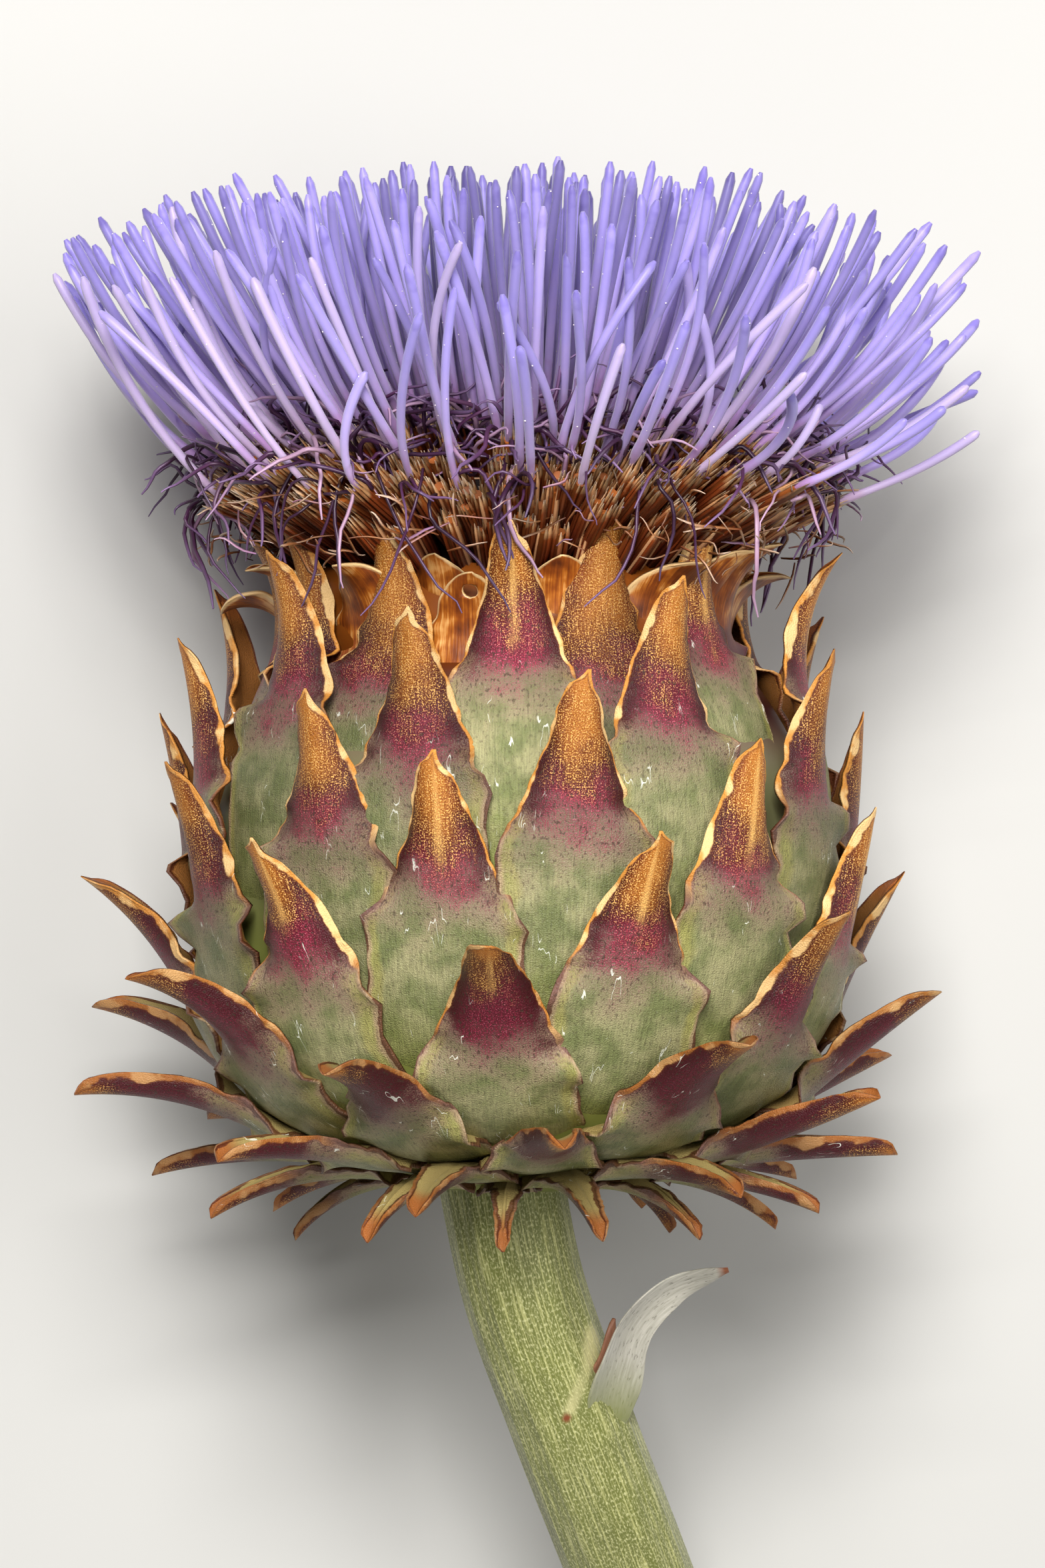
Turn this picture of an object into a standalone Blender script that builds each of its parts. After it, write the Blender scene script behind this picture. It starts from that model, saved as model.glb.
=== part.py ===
"""A globe artichoke in flower, cut with its stalk and laid on its side on a table.

The head is modelled upright, as it grows, round its own Z axis, in metres. The empty
head_axis then lays it down along +Y, so that the side at azimuth 0 faces up.
Bracts are counted by their place on the growth spiral, from the lowest, with 0 for
the one in the middle of the head. Tables give (place, value) pairs.
"""

import math

import bmesh
import bpy
import numpy as np
from mathutils import Vector

MM = 0.001

# The head lies on its side: its axis is this far above the table.
AXIS_HEIGHT = 50 * MM

# Radius and height in millimetres of the globe that the closed bracts make together.
GLOBE_OUTLINE = (
    (9, -1), (20, 1), (30, 4.5), (37, 11), (41.5, 21), (43, 31),
    (43, 41), (41.5, 51), (37.5, 61), (32, 70), (29, 78),
)
# Depth of the solid heart under that outline, by the distance along it, in millimetres.
HEART_DEPTH = ((0, 0.3), (10, 1.5), (30, 3.4), (60, 3.8), (95, 4.6))
HEART_TOP = 66 * MM
# Sides round each turned solid, and the share of triangles kept where pieces cross
TURNED_SIDES = 24
BRACT_DETAIL, PAPERY_DETAIL, TUBE_DETAIL, STYLE_DETAIL = 0.82, 0.8, 0.85, 0.9

# The growth spiral of the green bracts, and those that stand beside their place on it
FIRST_PLACE, LAST_PLACE = -34, 34
DIVERGENCE = math.radians(137.7)
MIDDLE_AZIMUTH = math.radians(-2.4)
ASIDE = {5: math.radians(-4), 18: math.radians(10), 26: math.radians(4), 31: math.radians(4)}
AZIMUTH_SPREAD = math.radians(1.0)
LEAN_SPREAD = math.radians(2.0)
# All in millimetres: how far up the globe's outline the shoulder sits, how much higher
# it sits on the left side, the lengths below and above it, and half its width.
SHOULDER_ARC = (
    (-34, 4), (-21, 12), (-13, 19.5), (-8, 25), (0, 37), (12, 54.5), (24, 70.2), (34, 86.5),
)
ASKEW = ((-30, 0), (-10, 3.5), (10, 4), (24, 1.5), (34, 0))
BODY_LENGTH = ((-34, 3), (-13, 15), (0, 26), (34, 27))
TIP_LENGTH = ((-34, 15), (-24, 22), (-12, 26), (0, 22.5), (13, 20.5), (34, 21))
HALF_WIDTH = ((-34, 3.6), (-24, 5), (-14, 7.2), (-6, 9), (0, 9.8), (20, 9.6), (34, 8.6))
# Mean rise of the free tip above the outward direction, in degrees.
TIP_LEAN = (
    (-34, -27), (-24, -11), (-15, 4), (-8, 20), (0, 46), (8, 69), (15, 84), (26, 87),
    (34, 82),
)
SHINGLE = 0.16

# Width of a bract as a share of its shoulder's, along the body and along the tip
BODY_WIDTHS = ((0, 0.85), (0.35, 1.15), (0.75, 1.08), (1, 1.0))
TIP_WIDTHS = ((0, 1.0), (0.14, 0.84), (0.4, 0.64), (0.8, 0.29), (1, 0.06))
TIP_CURL = ((0, 14), (0.2, 38), (0.6, 62), (0.85, 45), (1, 2))
# Outward wave of the margin at the shoulder, in millimetres, by distance from it
WAVE = ((-0.45, 0), (-0.2, -0.5), (0.0, 1.3), (0.14, -0.5), (0.3, 0.2), (0.5, 0))
# Strips across a bract; the small ones up to this place have fewer
STRIPS, SMALL_STRIPS, SMALL_PLACE = 4, 2, -15
BODY_ROWS = (0, 0.55, 1.0)
TIP_ROWS = (0.18, 0.55, 1.0)
BRACT_THICK = 3.4 * MM
TIP_THICK_SHARE = 0.28
# Above 1, a blade stays thick near its root; below 1, it thins at once.
THINNING = 1.2
# A bract that meets the table is bent up until its point, lying flat there, is this
# long, and has a row of its own where the flat spot starts.
FLAT_SPOT = 3 * MM
PRESSED_ROW = 0.88

# Dry papery bracts that rise from a collar on the heart, radii and heights in millimetres
COLLAR_OUTLINE = ((23.5, 78.4), (26.2, 78.4), (27.8, 66.3), (23.5, 66.3))
PAPERY_COUNT = 16
PAPERY_ROOT = (27.4, 66.8)
PAPERY_SUNK = 0.1 * MM
PAPERY_BODY, PAPERY_TIP = 9 * MM, 10.5 * MM
PAPERY_HALF_WIDTH = 7.2 * MM
PAPERY_WIDTHS = ((0, 1.0), (0.5, 0.85), (1, 0.15))
PAPERY_CURL = ((0, 16), (1, 24))
PAPERY_ANGLES = ((0, 48), (0.2, 90), (0.45, 92), (1, 8))
PAPERY_ROWS = (0, 0.42, 0.72, 1)
PAPERY_THICK = 0.8 * MM
PAPERY_SHORTEST, PAPERY_LONGEST = 0.8, 1.12

# Bed of brown tubes that carry the florets: radius and height in millimetres
BED_OUTLINE = (
    (0.05, 91), (34.6, 91), (35, 90), (29.6, 85.8), (24.4, 81), (22.8, 78), (22.8, 66.3),
    (0.05, 66.3),
)
TUBE_COUNT = 72
TUBE_RADIUS = 0.95 * MM
TUBE_LINE = ((23.6, 81.2), (31.8, 86.2), (40.4, 92.2))
TUBE_TAPER = (0.7, 1, 0.9)
# Every third tube ends this much lower and further in, in millimetres
TUBE_LAG = 0.6

# Disc that the violet styles stand on: radius and height in millimetres
DISC_OUTLINE = (
    (0.05, 97.4), (13, 97.2), (24, 96.2), (31.6, 94.8), (34.2, 93), (33.6, 91.3),
    (0.05, 91.3),
)
STYLE_COUNT = 230
STYLE_RADIUS = 0.8 * MM
# Radius and height where each style starts and ends, by its share of the way out
STYLE_ROOT = ((0, 0, 94.6), (0.5, 18, 94.6), (0.8, 28.5, 94), (1, 32.6, 93.4))
STYLE_TIP = (
    (0, 0, 127.5), (0.3, 17, 127.5), (0.5, 31, 126), (0.7, 46, 123),
    (0.85, 56, 118), (0.94, 59, 110), (1, 59.5, 102),
)
STYLE_LENGTH_SPREAD = 0.07
# Where the pull of a style's bend lies, as shares of its way out and up
STYLE_BEND = (0.6, 0.4)
# How much lower the outermost styles spread on the right side
STYLE_DROOP = 9 * MM
# Steps along an outer style, which bends, and along one of the nearly straight inner ones
STYLE_STEPS = (0, 0.4, 0.75, 1)
INNER_STEPS = (0, 1)
INNER_SHARE = 0.6
STYLE_TAPER = ((0, 0.8), (0.75, 1), (1, 0.8))

# Middle line of the stalk from the head to the table, in millimetres in the head's frame
STALK_LINE = (
    (-1.8, 0, -1.1), (0.4, 1.2, -12), (6.6, 6.2, -30), (14.1, 15.6, -50),
    (21.8, 27, -71), (29.6, 42.6, -94),
)
STALK_RADIUS = 7.9 * MM
STALK_FLARE = 1.04
STALK_COLLAR = 2 * MM
STALK_RIBS = 12
RIB_HEIGHT = 0.3 * MM
STALK_POINTS = 12

# Middle line of the leaf that grows from the stalk, in millimetres in the head's frame
LEAF_LINE = (
    (10, 3, -34), (12.2, 0, -24), (14.6, -2, -17.5), (19.5, -3, -13), (26.8, -3.5, -10.6),
)
LEAF_ROWS = (0, 0.3, 0.55, 0.75, 0.9, 1)
LEAF_HALF_WIDTH = 4 * MM
LEAF_WIDTHS = ((0, 0.9), (0.35, 0.8), (0.75, 0.6), (1, 0.12))
LEAF_THICK, LEAF_TIP_SHARE = 1.1 * MM, 0.7
LEAF_TILT = math.radians(35)

# Colours, as shares of red, green and blue light
GREEN, STALK_GREEN = (0.30, 0.33, 0.20), (0.42, 0.45, 0.24)
AMBER, BROWN, VIOLET = (0.60, 0.38, 0.12), (0.16, 0.07, 0.03), (0.36, 0.24, 0.62)

SEED = 7


def by_place(table, place):
    """The value that a table of (place, value) pairs gives between its places."""
    places, values = zip(*table)
    return float(np.interp(place, places, values))


def smooth_line(points, steps=16):
    """A smooth curve through the points, as a dense array of points."""
    points = np.array(points, float)
    chords = np.linalg.norm(np.diff(points, axis=0), axis=1)
    knots = np.concatenate([[0], np.cumsum(chords)])
    slopes = np.gradient(points, knots, axis=0)
    line = []
    for i, chord in enumerate(chords):
        for u in np.arange(steps) / steps:
            line.append(
                (2 * u**3 - 3 * u**2 + 1) * points[i]
                + (u**3 - 2 * u**2 + u) * chord * slopes[i]
                + (3 * u**2 - 2 * u**3) * points[i + 1]
                + (u**3 - u**2) * chord * slopes[i + 1]
            )
    return np.array([*line, points[-1]])


def lengths_along(line):
    """The length of a line of points up to each of them."""
    steps = np.linalg.norm(np.diff(line, axis=0), axis=1)
    return np.concatenate([[0], np.cumsum(steps)])


GLOBE = smooth_line(GLOBE_OUTLINE) * MM
GLOBE_ARC = lengths_along(GLOBE)
GLOBE_SLOPE = np.gradient(GLOBE, GLOBE_ARC, axis=0)
GLOBE_ANGLE = np.arctan2(GLOBE_SLOPE[:, 1], GLOBE_SLOPE[:, 0])


def on_globe(arc, depth=0.0):
    """Radius, height and direction on the globe's outline, sunk by a depth."""
    radius = np.interp(arc, GLOBE_ARC, GLOBE[:, 0])
    height = np.interp(arc, GLOBE_ARC, GLOBE[:, 1])
    angle = np.interp(arc, GLOBE_ARC, GLOBE_ANGLE)
    return radius - depth * np.sin(angle), height + depth * np.cos(angle), angle


def material(name, colour, roughness):
    """A plain finish with the part's own colour."""
    made = bpy.data.materials.new(name)
    made.use_nodes = True
    shader = made.node_tree.nodes["Principled BSDF"]
    shader.inputs["Base Color"].default_value = (*colour, 1)
    shader.inputs["Roughness"].default_value = roughness
    shader.inputs["Metallic"].default_value = 0
    return made


def new_collection(name):
    made = bpy.data.collections.new(name)
    bpy.context.scene.collection.children.link(made)
    return made


def mesh_object(name, bm, collection, parent):
    mesh = bpy.data.meshes.new(name)
    bm.to_mesh(mesh)
    bm.free()
    made = bpy.data.objects.new(name, mesh)
    made.parent = parent
    collection.objects.link(made)
    return made


def turned(name, outline, collection, parent):
    """A solid turned from an outline that runs down its outer side; a ring is closed."""
    bm = bmesh.new()
    points = [bm.verts.new((radius * MM, 0, height * MM)) for radius, height in outline]
    for above, below in zip(points, points[1:]):
        bm.edges.new((above, below))
    if outline[0][0] > 1:
        bm.edges.new((points[-1], points[0]))
    made = mesh_object(name, bm, collection, parent)
    screw = made.modifiers.new("turned", "SCREW")
    screw.steps = screw.render_steps = TURNED_SIDES
    screw.use_merge_vertices = True
    screw.merge_threshold = 0.0001
    return as_mesh(made)


def profile_curve(name, radii):
    """A closed outline to sweep along a line, from its radius at equal turns."""
    curve = bpy.data.curves.new(name, "CURVE")
    spline = curve.splines.new("POLY")
    spline.points.add(len(radii) - 1)
    for i, (point, radius) in enumerate(zip(spline.points, radii)):
        turn = math.tau * i / len(radii)
        point.co = (radius * math.cos(turn), radius * math.sin(turn), 0, 1)
    spline.use_cyclic_u = True
    made = bpy.data.objects.new(name, curve)
    bpy.context.scene.collection.objects.link(made)
    return made


def swept(name, line, swell, profile, collection, parent):
    """A closed solid along a line, kept above the table; swell scales it at each point."""
    curve = bpy.data.curves.new(name, "CURVE")
    curve.dimensions = "3D"
    curve.bevel_mode = "OBJECT"
    curve.bevel_object = profile
    curve.use_fill_caps = True
    spline = curve.splines.new("POLY")
    spline.points.add(len(line) - 1)
    thick = max(point.co.xyz.length for point in profile.data.splines[0].points)
    for point, place, scale in zip(spline.points, line, swell):
        point.co = (*above_table(*place, thick * scale), 1)
        point.radius = scale
    made = bpy.data.objects.new(name, curve)
    made.parent = parent
    collection.objects.link(made)
    return made


def above_table(x, y, z, clearance=0.0):
    """The point, kept above the table, which lies at +Y of the head's axis."""
    return Vector((x, min(y, AXIS_HEIGHT - clearance), z))


def as_mesh(obj):
    """Replaces a mesh or a curve by the plain mesh that its settings and modifiers make."""
    bpy.context.view_layer.update()
    graph = bpy.context.evaluated_depsgraph_get()
    mesh = bpy.data.meshes.new_from_object(obj.evaluated_get(graph))
    if obj.type == "MESH":
        obj.modifiers.clear()
        obj.data = mesh
        return obj
    # The caps of a swept curve come loose, so they are joined to it.
    bm = bmesh.new()
    bm.from_mesh(mesh)
    bmesh.ops.remove_doubles(bm, verts=bm.verts[:], dist=0.01 * MM)
    bmesh.ops.recalc_face_normals(bm, faces=bm.faces[:])
    name, collection, parent = obj.name, obj.users_collection[0], obj.parent
    bpy.data.objects.remove(obj)
    return mesh_object(name, bm, collection, parent)


def outer_skin_only(obj):
    """Drops the skins of sealed hollows and loose scraps, so that one solid is left."""
    bm = bmesh.new()
    bm.from_mesh(obj.data)
    bmesh.ops.triangulate(bm, faces=bm.faces[:])
    unseen = set(bm.verts)
    skins = []
    while unseen:
        reached = [unseen.pop()]
        for vert in reached:
            near = {edge.other_vert(vert) for edge in vert.link_edges} & unseen
            unseen -= near
            reached += near
        faces = {face for vert in reached for face in vert.link_faces}
        size = 0
        for face in faces:
            a, b, c = (vert.co for vert in face.verts)
            size += a.dot(b.cross(c)) / 6
        skins.append((size, reached))
    skins.sort(key=lambda entry: entry[0])
    for _, verts in skins[:-1]:
        bmesh.ops.delete(bm, geom=verts, context="VERTS")
    bm.to_mesh(obj.data)
    bm.free()


def grow_together(body, repeats, finish, detail=1.0):
    """Joins a collection of repeated pieces to the body that they grow from.

    detail is the share of triangles kept, where the joined pieces cross in tiny ones.
    """
    for piece in [piece for piece in repeats.objects if piece.type == "CURVE"]:
        as_mesh(piece)
    union = body.modifiers.new("grown_together", "BOOLEAN")
    union.operation = "UNION"
    union.operand_type = "COLLECTION"
    union.collection = repeats
    union.solver = "MANIFOLD"
    as_mesh(body)
    for piece in list(repeats.objects):
        bpy.data.objects.remove(piece)
    bpy.data.collections.remove(repeats)
    outer_skin_only(body)
    if detail < 1:
        lighter = body.modifiers.new("lighter", "DECIMATE")
        lighter.ratio = detail
        as_mesh(body)
    body.data.materials.clear()
    body.data.materials.append(finish)
    return body


class Bract:
    """One scale of the head: its place, its middle line and its outline."""

    def __init__(
        self, azimuth, half_width, body, tip, middle, tip_widths=TIP_WIDTHS, tip_curl=TIP_CURL
    ):
        self.azimuth = azimuth
        self.tip_widths = tip_widths
        self.tip_curl = tip_curl
        self.half_width = half_width
        self.body = body
        self.tip = tip
        self.middle = middle  # distance from the root, radius, height and angle
        self.length = body + tip

    def middle_at(self, distance):
        steps, *values = self.middle
        return [np.interp(distance, steps, value) for value in values]

    def below_table(self):
        """How far the middle line reaches under the table."""
        drop = -AXIS_HEIGHT - self.middle[1] * math.cos(self.azimuth)
        return float(drop.max())


def green_middle(shoulder, body, tip, lean):
    """The middle line of a bract that hugs the globe up to its shoulder."""
    steps = np.linspace(0, 1, 25)
    under = body * (1 - steps)
    radius, height, angle = on_globe(shoulder - under, SHINGLE * under)
    angle = angle - math.atan(SHINGLE)
    ends = angle[-1], 2 * lean - angle[-1]
    free = np.interp(steps[1:], (0, 1), ends)
    stride = tip / (len(steps) - 1)
    radius = np.concatenate([radius, radius[-1] + np.cumsum(np.cos(free)) * stride])
    height = np.concatenate([height, height[-1] + np.cumsum(np.sin(free)) * stride])
    distance = np.concatenate([steps * body, body + steps[1:] * tip])
    return distance, radius, height, np.concatenate([angle, free])


def green_bract(place, chance):
    """A green bract by its place on the spiral, bent up where the table is in its way."""
    azimuth = MIDDLE_AZIMUTH + DIVERGENCE * place + ASIDE.get(place, 0)
    azimuth += chance.normal() * AZIMUTH_SPREAD
    lean = math.radians(by_place(TIP_LEAN, place)) + chance.normal() * LEAN_SPREAD
    askew = by_place(ASKEW, place) * math.sin(azimuth)
    shoulder = (by_place(SHOULDER_ARC, place) - askew) * MM
    body = min(by_place(BODY_LENGTH, place) * MM, shoulder)
    tip = by_place(TIP_LENGTH, place) * MM
    half_width = by_place(HALF_WIDTH, place) * MM
    while True:
        middle = green_middle(shoulder, body, tip, lean)
        made = Bract(azimuth, half_width, body, tip, middle)
        slant = max(0, math.sin(middle[3][-1]))
        if made.below_table() <= FLAT_SPOT * slant or lean > math.pi / 2:
            return made
        lean += math.radians(1)


def bract_point(bract, distance, across):
    """A point of a bract's outer face, in the head's frame. across runs from -1 to 1."""
    radius, height, angle = bract.middle_at(distance)
    along_tip = (distance - bract.body) / bract.tip
    if along_tip < 0:
        half = bract.half_width * by_place(BODY_WIDTHS, distance / bract.body)
        curl = 1.15 * half / max(radius, 2 * half)
    else:
        half = bract.half_width * by_place(bract.tip_widths, along_tip)
        curl = math.radians(by_place(bract.tip_curl, along_tip))
    wave = by_place(WAVE, along_tip) * MM * bract.half_width / (9.5 * MM)
    sideways = math.sin(curl * across) / curl * half
    outward = -(1 - math.cos(curl * across)) / curl * half + wave * abs(across) ** 3
    radius += outward * math.sin(angle)
    height -= outward * math.cos(angle)
    return above_table(
        radius * math.sin(bract.azimuth) + sideways * math.cos(bract.azimuth),
        -radius * math.cos(bract.azimuth) + sideways * math.sin(bract.azimuth),
        height,
    )


def blade(name, point_at, rows, columns, thick, tip_share, collection, parent):
    """A leaf: a grid on the surface that point_at gives, thickened on its inner side."""
    last = len(rows) - 1
    bm = bmesh.new()
    bmesh.ops.create_grid(bm, x_segments=columns, y_segments=last, size=1)
    thinness = []
    for vert in bm.verts:
        row = round((vert.co.y + 1) / 2 * last)
        thinness.append((row / last) ** THINNING)
        vert.co = point_at(rows[row], vert.co.x)
    bmesh.ops.triangulate(bm, faces=bm.faces[:])
    made = mesh_object(name, bm, collection, parent)
    fleshy = made.vertex_groups.new(name="fleshy")
    for index, thin in enumerate(thinness):
        fleshy.add([index], 1 - thin, "REPLACE")
    shell = made.modifiers.new("thickness", "SOLIDIFY")
    shell.thickness = thick
    shell.offset = -1
    shell.vertex_group = fleshy.name
    shell.thickness_vertex_group = tip_share
    return made


def make_bract_head(parent, collection):
    """The heart of the head, with every green bract grown from it."""
    depth = np.interp(GLOBE_ARC / MM, *zip(*HEART_DEPTH)) * MM
    radius, height, _ = on_globe(GLOBE_ARC, depth)
    sides = [(r / MM, h / MM) for r, h in zip(radius, height) if h < HEART_TOP - MM]
    sides = [*sides[::24], (sides[-1][0], HEART_TOP / MM)]
    outline = [(0.05, HEART_TOP / MM), *reversed(sides), (0.05, sides[0][1])]
    head = turned("bract_head", outline, collection, parent)
    scales = new_collection("scales")
    chance = np.random.default_rng(SEED)
    for place in range(FIRST_PLACE, LAST_PLACE + 1):
        bract = green_bract(place, chance)
        tip_rows = sorted({*TIP_ROWS, PRESSED_ROW} if bract.below_table() > 0 else TIP_ROWS)
        rows = [share * bract.body for share in BODY_ROWS]
        rows += [bract.body + share * bract.tip for share in tip_rows]
        strips = STRIPS if place > SMALL_PLACE else SMALL_STRIPS
        blade(
            f"scale_{place - FIRST_PLACE}",
            lambda distance, across: bract_point(bract, distance, across),
            rows, strips, BRACT_THICK, TIP_THICK_SHARE, scales, parent,
        )
    grow_together(head, scales, material("green_bract", GREEN, 0.6), BRACT_DETAIL)


def make_papery_bracts(parent, collection):
    """The dry innermost bracts, which rise from the heart and bend out under the tubes."""
    collar = turned("papery_bracts", COLLAR_OUTLINE, collection, parent)
    papery = new_collection("papery")
    chance = np.random.default_rng(SEED + 3)
    steps = np.linspace(0, 1, 21)
    angle = np.radians([by_place(PAPERY_ANGLES, step) for step in steps])
    for i in range(PAPERY_COUNT):
        azimuth = MIDDLE_AZIMUTH + DIVERGENCE * (LAST_PLACE + 1 + i)
        tip = PAPERY_TIP * chance.uniform(PAPERY_SHORTEST, PAPERY_LONGEST)
        length = PAPERY_BODY + tip
        stride = length / (len(steps) - 1)
        radius = PAPERY_ROOT[0] * MM - PAPERY_SUNK * i + np.cumsum(np.cos(angle)) * stride
        height = PAPERY_ROOT[1] * MM + np.cumsum(np.sin(angle)) * stride
        middle = steps * length, radius, height, angle
        bract = Bract(
            azimuth, PAPERY_HALF_WIDTH, PAPERY_BODY, tip, middle, PAPERY_WIDTHS, PAPERY_CURL
        )
        blade(
            f"papery_{i}",
            lambda distance, across: bract_point(bract, distance, across),
            [share * length for share in PAPERY_ROWS],
            SMALL_STRIPS, PAPERY_THICK, 1, papery, parent,
        )
    grow_together(collar, papery, material("papery_bract", AMBER, 0.5), PAPERY_DETAIL)


def make_tube_bed(parent, collection):
    """The bed under the florets, with the bristly brown tubes round its skirt."""
    bed = turned("tube_bed", BED_OUTLINE, collection, parent)
    tubes = new_collection("tubes")
    profile = profile_curve("tube_profile", [TUBE_RADIUS] * 3)
    chance = np.random.default_rng(SEED + 1)
    for i in range(TUBE_COUNT):
        azimuth = math.tau * (i + chance.uniform(-0.25, 0.25)) / TUBE_COUNT
        lag = TUBE_LAG * (i % 3)
        line = [
            radial_point(azimuth, (radius - lag) * MM, (height - lag) * MM)
            for radius, height in TUBE_LINE
        ]
        swept(f"tube_{i}", line, TUBE_TAPER, profile, tubes, parent)
    grow_together(bed, tubes, material("brown_tube", BROWN, 0.7), TUBE_DETAIL)
    bpy.data.objects.remove(profile)


def radial_point(azimuth, radius, height):
    """A point at a radius and a height, where azimuth 0 faces up once the head lies."""
    return Vector((radius * math.sin(azimuth), -radius * math.cos(azimuth), height))


def make_floret_bloom(parent, collection):
    """The violet styles, in a brush that opens from a low disc."""
    disc = turned("floret_bloom", DISC_OUTLINE, collection, parent)
    styles = new_collection("styles")
    profile = profile_curve("style_profile", [STYLE_RADIUS] * 3)
    chance = np.random.default_rng(SEED + 2)
    for i in range(STYLE_COUNT):
        share = math.sqrt((i + 0.5) / STYLE_COUNT)
        azimuth = DIVERGENCE * i
        stretch = 1 + chance.uniform(-1, 1) * STYLE_LENGTH_SPREAD
        droop = STYLE_DROOP * share**8 * math.sin(azimuth)
        root, tip = (
            [np.interp(share, table[:, 0], table[:, column]) * MM for column in (1, 2)]
            for table in (np.array(STYLE_ROOT), np.array(STYLE_TIP))
        )
        tip[1] -= droop
        out, up = ((end - start) * stretch for start, end in zip(root, tip))
        line = []
        stops = STYLE_STEPS if share > INNER_SHARE else INNER_STEPS
        for t in stops:
            # Each style leaves the disc outwards and then bends up.
            along_out, along_up = (2 * t * (1 - t) * bend + t * t for bend in STYLE_BEND)
            line.append(radial_point(azimuth, root[0] + out * along_out, root[1] + up * along_up))
        swell = [by_place(STYLE_TAPER, t) for t in stops]
        swept(f"style_{i}", line, swell, profile, styles, parent)
    grow_together(disc, styles, material("violet_floret", VIOLET, 0.6), STYLE_DETAIL)
    bpy.data.objects.remove(profile)


def make_flower_stalk(parent, collection):
    """The ribbed stalk, cut at its lower end, with one small leaf."""
    line = smooth_line(STALK_LINE) * MM
    line = line[np.linspace(0, len(line) - 1, STALK_POINTS).round().astype(int)]
    # The first stretch is upright, so that the stalk meets the head face to face.
    line = [line[0], line[0] - (0, 0, STALK_COLLAR), *line[1:]]
    swell = [STALK_FLARE, STALK_FLARE] + [1] * (len(line) - 2)
    ribs = [STALK_RADIUS, STALK_RADIUS + RIB_HEIGHT] * STALK_RIBS
    profile = profile_curve("stalk_profile", ribs)
    stalk = as_mesh(swept("flower_stalk", line, swell, profile, collection, parent))
    bpy.data.objects.remove(profile)
    leaves = new_collection("leaves")
    middle = smooth_line(LEAF_LINE) * MM
    arc = lengths_along(middle)
    slope = np.gradient(middle, arc, axis=0)

    def point_at(share, across):
        centre, ahead = (
            Vector([np.interp(share * arc[-1], arc, values[:, k]) for k in range(3)])
            for values in (middle, slope)
        )
        level = Vector((0, 1, 0)).cross(ahead).normalized()
        sideways = level * math.cos(LEAF_TILT) + Vector((0, math.sin(LEAF_TILT), 0))
        return centre + sideways * across * LEAF_HALF_WIDTH * by_place(LEAF_WIDTHS, share)

    blade("leaf", point_at, LEAF_ROWS, 2, LEAF_THICK, LEAF_TIP_SHARE, leaves, parent)
    grow_together(stalk, leaves, material("green_stalk", STALK_GREEN, 0.5))


def set_over_origin(head_axis, parts):
    """Moves the laid part over the origin, by the middle of its own bounds."""
    bpy.context.view_layer.update()
    corners = [
        obj.matrix_world @ vert.co
        for obj in parts.objects if obj.type == "MESH" for vert in obj.data.vertices
    ]
    for axis in (0, 1):
        values = [corner[axis] for corner in corners]
        head_axis.location[axis] -= (min(values) + max(values)) / 2


def make_all():
    for obj in list(bpy.data.objects):
        bpy.data.objects.remove(obj)
    parts = new_collection("globe_artichoke")
    head_axis = bpy.data.objects.new("head_axis", None)
    head_axis.rotation_euler.x = -math.pi / 2
    head_axis.location.z = AXIS_HEIGHT
    parts.objects.link(head_axis)
    make_bract_head(head_axis, parts)
    make_papery_bracts(head_axis, parts)
    make_tube_bed(head_axis, parts)
    make_floret_bloom(head_axis, parts)
    make_flower_stalk(head_axis, parts)
    set_over_origin(head_axis, parts)


make_all()
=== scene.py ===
"""Looks of a globe artichoke in flower, cut with its stalk and laid on its side.

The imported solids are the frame. Every piece here stands for one of them, or grows on one,
and keeps its form: the values at the top are the part's own. Shapes are worked out in the
upright head's frame, round its Z axis, and laid() puts them where the head lies. Tables
give (place, value) pairs, and bracts are counted by their place on the growth spiral.
"""

import math
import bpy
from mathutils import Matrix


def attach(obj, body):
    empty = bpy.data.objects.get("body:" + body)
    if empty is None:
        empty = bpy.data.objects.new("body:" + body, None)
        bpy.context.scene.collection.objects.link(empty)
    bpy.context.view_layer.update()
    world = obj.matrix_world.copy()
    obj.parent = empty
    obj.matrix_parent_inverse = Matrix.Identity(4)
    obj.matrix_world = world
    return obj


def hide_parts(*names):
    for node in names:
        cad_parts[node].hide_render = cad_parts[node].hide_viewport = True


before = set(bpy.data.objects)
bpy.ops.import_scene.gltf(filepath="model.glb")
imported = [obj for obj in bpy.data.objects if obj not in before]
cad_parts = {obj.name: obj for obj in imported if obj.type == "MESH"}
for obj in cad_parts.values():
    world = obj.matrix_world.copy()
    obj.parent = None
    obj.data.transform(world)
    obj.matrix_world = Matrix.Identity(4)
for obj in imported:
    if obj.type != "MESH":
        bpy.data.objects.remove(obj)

from types import SimpleNamespace

import bmesh
import bpy
import numpy as np
from bpy.props import FloatProperty, FloatVectorProperty, IntProperty, PointerProperty
from mathutils import Vector

bl_info = {
    "name": "Globe Artichoke in Flower",
    "version": (1, 0, 0),
    "blender": (4, 5, 0),
    "location": "3D View > Sidebar > Artichoke",
    "description": "Makes the bracts, florets and stalk of a flowering globe artichoke",
    "category": "Add Mesh",
}

MM = 0.001
CM = 0.01
BODY = "root"

# Where the upright head's axis lies: across, along and above the table
HEAD_X, HEAD_Y, AXIS_HEIGHT = 0.06 * MM, -15.38 * MM, 50 * MM

# The part's own values: the globe of bracts, in millimetres, and the growth spiral
GLOBE_OUTLINE = (
    (9, -1), (20, 1), (30, 4.5), (37, 11), (41.5, 21), (43, 31),
    (43, 41), (41.5, 51), (37.5, 61), (32, 70), (29, 78),
)
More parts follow.
